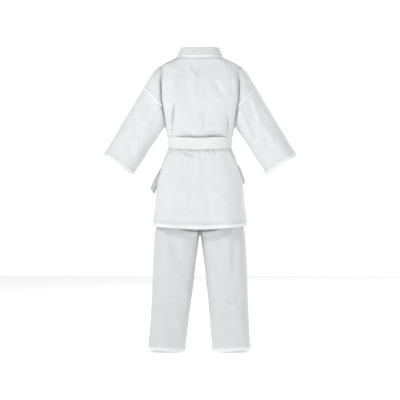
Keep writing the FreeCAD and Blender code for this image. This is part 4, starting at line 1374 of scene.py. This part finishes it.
class UNIFORM_OT_trousers(bpy.types.Operator):
    """Waistband, elastic, both legs with their halves of the seat, their hems and the gusset"""

    bl_idname = "uniform.trousers"
    bl_label = "Trousers"

    def execute(self, context):
        size = sizes()
        low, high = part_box("waistband")
        self.ring_band("waistband_cloth", low.z, high.z, high.x, high.y, 0.0046, trouser_cloth(),
                       "trouser_canvas", "waistband", 0.9)
        low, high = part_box("waist_elastic")
        self.ring_band("waist_elastic_band", low.z, high.z, high.x - 0.0035, high.y - 0.0035, 0.0014,
                       elastic_cloth(), "elastic_webbing", "waist_elastic", 0.3)
        columns = 4 * int(0.11 / size.mesh) + 1
        for word, side in (("left", 1), ("right", -1)):
            body = "trouser_leg_" + word
            rows = np.linspace(0.698, size.hem, int(0.68 / size.mesh))
            points = leg_points(rows, side, columns)
            # Painted shade of the leg from its table of lines, with painted highlights on the inseam's
            # ridges; weaker in front
            deep = painted_shading(np.abs(points[..., 0]), points[..., 2], LEG_SHADE_LINES)
            deep = deep * np.where(points[..., 1] > 0, 1, 0.6)
            leg = grid_object("leg_" + word + "_cloth", points, deep=deep)
            finish_cloth(leg, size.cloth, trouser_cloth())
            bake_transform(leg)
            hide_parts("leg_" + word, "seat_" + word)
            rows = np.linspace(size.hem + 0.0005, 0.0, 8)
            points = leg_points(rows, side, columns)
            around = np.linspace(0, 0.36, columns)[None, :]
            edge = bulge(8)
            pucker = ripple(around, rows[:, None], 101 + side, 0.018, 0.35, 0.0, 0.4)
            points = swell(points, 0.0005 + 0.0008 * edge + pucker * edge)
            band = grid_object("leg_hem_" + word + "_band", points, None, (around, rows[:, None]))
            finish_cloth(band, size.folded, trouser_hem_cloth())
            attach(band, body)
            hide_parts("leg_hem_" + word)
        turn = np.linspace(-1, 1, 61)
        depth = 0.0655 * np.sin(turn * np.pi / 2)
        height = 0.515 - 0.109 * np.sqrt(np.clip(1 - (depth / 0.0665) ** 2, 0, 1))
        path = grid(0 * turn, depth, height)
        across = np.tile(np.array([1.0, 0, 0]), (len(path), 1))
        gusset = ribbon("gusset_strip", path, across, 0.022, size.cloth, trouser_cloth(),
                        0.0002, 9)
        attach(gusset, "trousers")
        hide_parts("crotch_gusset")
        return {"FINISHED"}

    @staticmethod
    def ring_band(name, low, high, wide, deep, thickness, material, slot, node, wave):
        """A gathered band round the waist."""
        columns, rows = 241, 9
        turn = np.linspace(0, 2 * np.pi, columns)
        power = 2 / 2.6
        x = wide * np.sign(np.cos(turn)) * np.abs(np.cos(turn)) ** power
        y = deep * np.sign(np.sin(turn)) * np.abs(np.sin(turn)) ** power
        z = np.linspace(low, high, rows)[None, :]
        core = np.array([0, 0, (low + high) / 2])
        fullness = np.sin(np.pi * np.linspace(0.1, 0.9, rows))[None, :]
        gathers = 0.0009 * wave * np.cos(60 * turn)[:, None] * fullness
        points = swell(grid(x[:, None], y[:, None], z), gathers - 0.0012, core)
        thing = grid_object(name, points, core, (np.linspace(0, 0.54, columns)[:, None], z - low))
        finish_cloth(thing, thickness, material)
        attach(thing, "trousers")
        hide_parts(node)


# Lamps as name, place, power in watts and size, and the camera's distance and the width that it takes in
LAMPS = [
    ("key", (2.9, 3.6, 4.2), 114, 1.2),
    ("fill", (-3.4, 4.0, 1.6), 14, 3.0),
    ("front_key", (-3.4, -3.6, 4.2), 126, 1.4),
]
CAMERA_DISTANCE, VIEW_WIDTH, SENSOR_MM = 6.0, 1.4, 36


class UNIFORM_OT_stage(bpy.types.Operator):
    """Plain pale floor, soft studio light and the camera behind the wearer"""

    bl_idname = "uniform.stage"
    bl_label = "Stage"

    def execute(self, context):
        scene = context.scene
        bpy.ops.object.select_all(action="DESELECT")
        bpy.ops.mesh.primitive_plane_add(size=12, location=(0, 0, 0))
        floor = context.active_object
        floor.name = "floor"
        material = bpy.data.materials.new("pale_floor")
        material.use_nodes = True
        shader = material.node_tree.nodes["Principled BSDF"]
        shader.inputs["Base Color"].default_value = (*colours().floor, 1)
        shader.inputs["Roughness"].default_value = 0.8
        shader.inputs["Emission Color"].default_value = (1, 1, 1, 1)
        shader.inputs["Emission Strength"].default_value = 0.46
        floor.data.materials.append(material)
        world = bpy.data.worlds.new("studio")
        world.use_nodes = True
        nodes, links = world.node_tree.nodes, world.node_tree.links
        nodes["Background"].inputs["Color"].default_value = (1, 1, 1, 1)
        place = nodes.new("ShaderNodeTexCoord")
        split = nodes.new("ShaderNodeSeparateXYZ")
        height = nodes.new("ShaderNodeMath")
        height.operation = "ABSOLUTE"
        glow = nodes.new("ShaderNodeMapRange")
        glow.interpolation_type = "SMOOTHSTEP"
        for socket, value in zip(glow.inputs[1:5], (0.12, 0.40, 1.08, 0.26)):
            socket.default_value = value
        links.new(place.outputs["Generated"], split.inputs[0])
        links.new(split.outputs[2], height.inputs[0])
        links.new(height.outputs[0], glow.inputs[0])
        links.new(glow.outputs[0], nodes["Background"].inputs["Strength"])
        scene.world = world
        for name, place, power, size in LAMPS:
            lamp = bpy.data.lights.new(name, "AREA")
            lamp.energy = power
            lamp.size = size
            thing = bpy.data.objects.new(name, lamp)
            scene.collection.objects.link(thing)
            thing.location = place
            aim = np.array([0, 0, 0.6]) - np.array(place)
            thing.rotation_euler = (math.atan2(math.hypot(aim[0], aim[1]), -aim[2]), 0,
                                    math.atan2(aim[1], aim[0]) - math.pi / 2)
        camera = bpy.data.objects.new("camera", bpy.data.cameras.new("camera"))
        scene.collection.objects.link(camera)
        camera.location = (0, CAMERA_DISTANCE, 0.530)
        camera.rotation_euler = (math.pi / 2, 0, math.pi)
        camera.data.lens = SENSOR_MM * CAMERA_DISTANCE / VIEW_WIDTH
        scene.camera = camera
        scene.view_settings.view_transform = "Standard"
        return {"FINISHED"}


class UNIFORM_PT_panel(bpy.types.Panel):
    """Lists the uniform's pieces"""

    bl_idname = "UNIFORM_PT_panel"
    bl_label = "Martial arts uniform"
    bl_space_type = "VIEW_3D"
    bl_region_type = "UI"
    bl_category = "Uniform"

    def draw(self, context):
        for operator in OPERATORS:
            self.layout.operator(operator.bl_idname)
        for group in (context.scene.uniform_sizes, context.scene.uniform_colours):
            for name in group.__annotations__:
                self.layout.prop(group, name)


OPERATORS = [UNIFORM_OT_stage, UNIFORM_OT_back_bodice, UNIFORM_OT_fronts, UNIFORM_OT_collar,
             UNIFORM_OT_sleeves, UNIFORM_OT_skirt, UNIFORM_OT_belt, UNIFORM_OT_trousers]
CLASSES = [UniformSizes, UniformColours] + OPERATORS + [UNIFORM_PT_panel]


def register():
    for item in CLASSES:
        bpy.utils.register_class(item)
    bpy.types.Scene.uniform_sizes = PointerProperty(type=UniformSizes)
    bpy.types.Scene.uniform_colours = PointerProperty(type=UniformColours)


def unregister():
    del bpy.types.Scene.uniform_colours
    del bpy.types.Scene.uniform_sizes
    for item in reversed(CLASSES):
        bpy.utils.unregister_class(item)


def main():
    register()
    bpy.ops.uniform.stage()
    bpy.ops.uniform.back_bodice()
    bpy.ops.uniform.fronts()
    bpy.ops.uniform.collar()
    bpy.ops.uniform.sleeves()
    bpy.ops.uniform.skirt()
    bpy.ops.uniform.belt()
    bpy.ops.uniform.trousers()


if __name__ == "__main__":
    main()
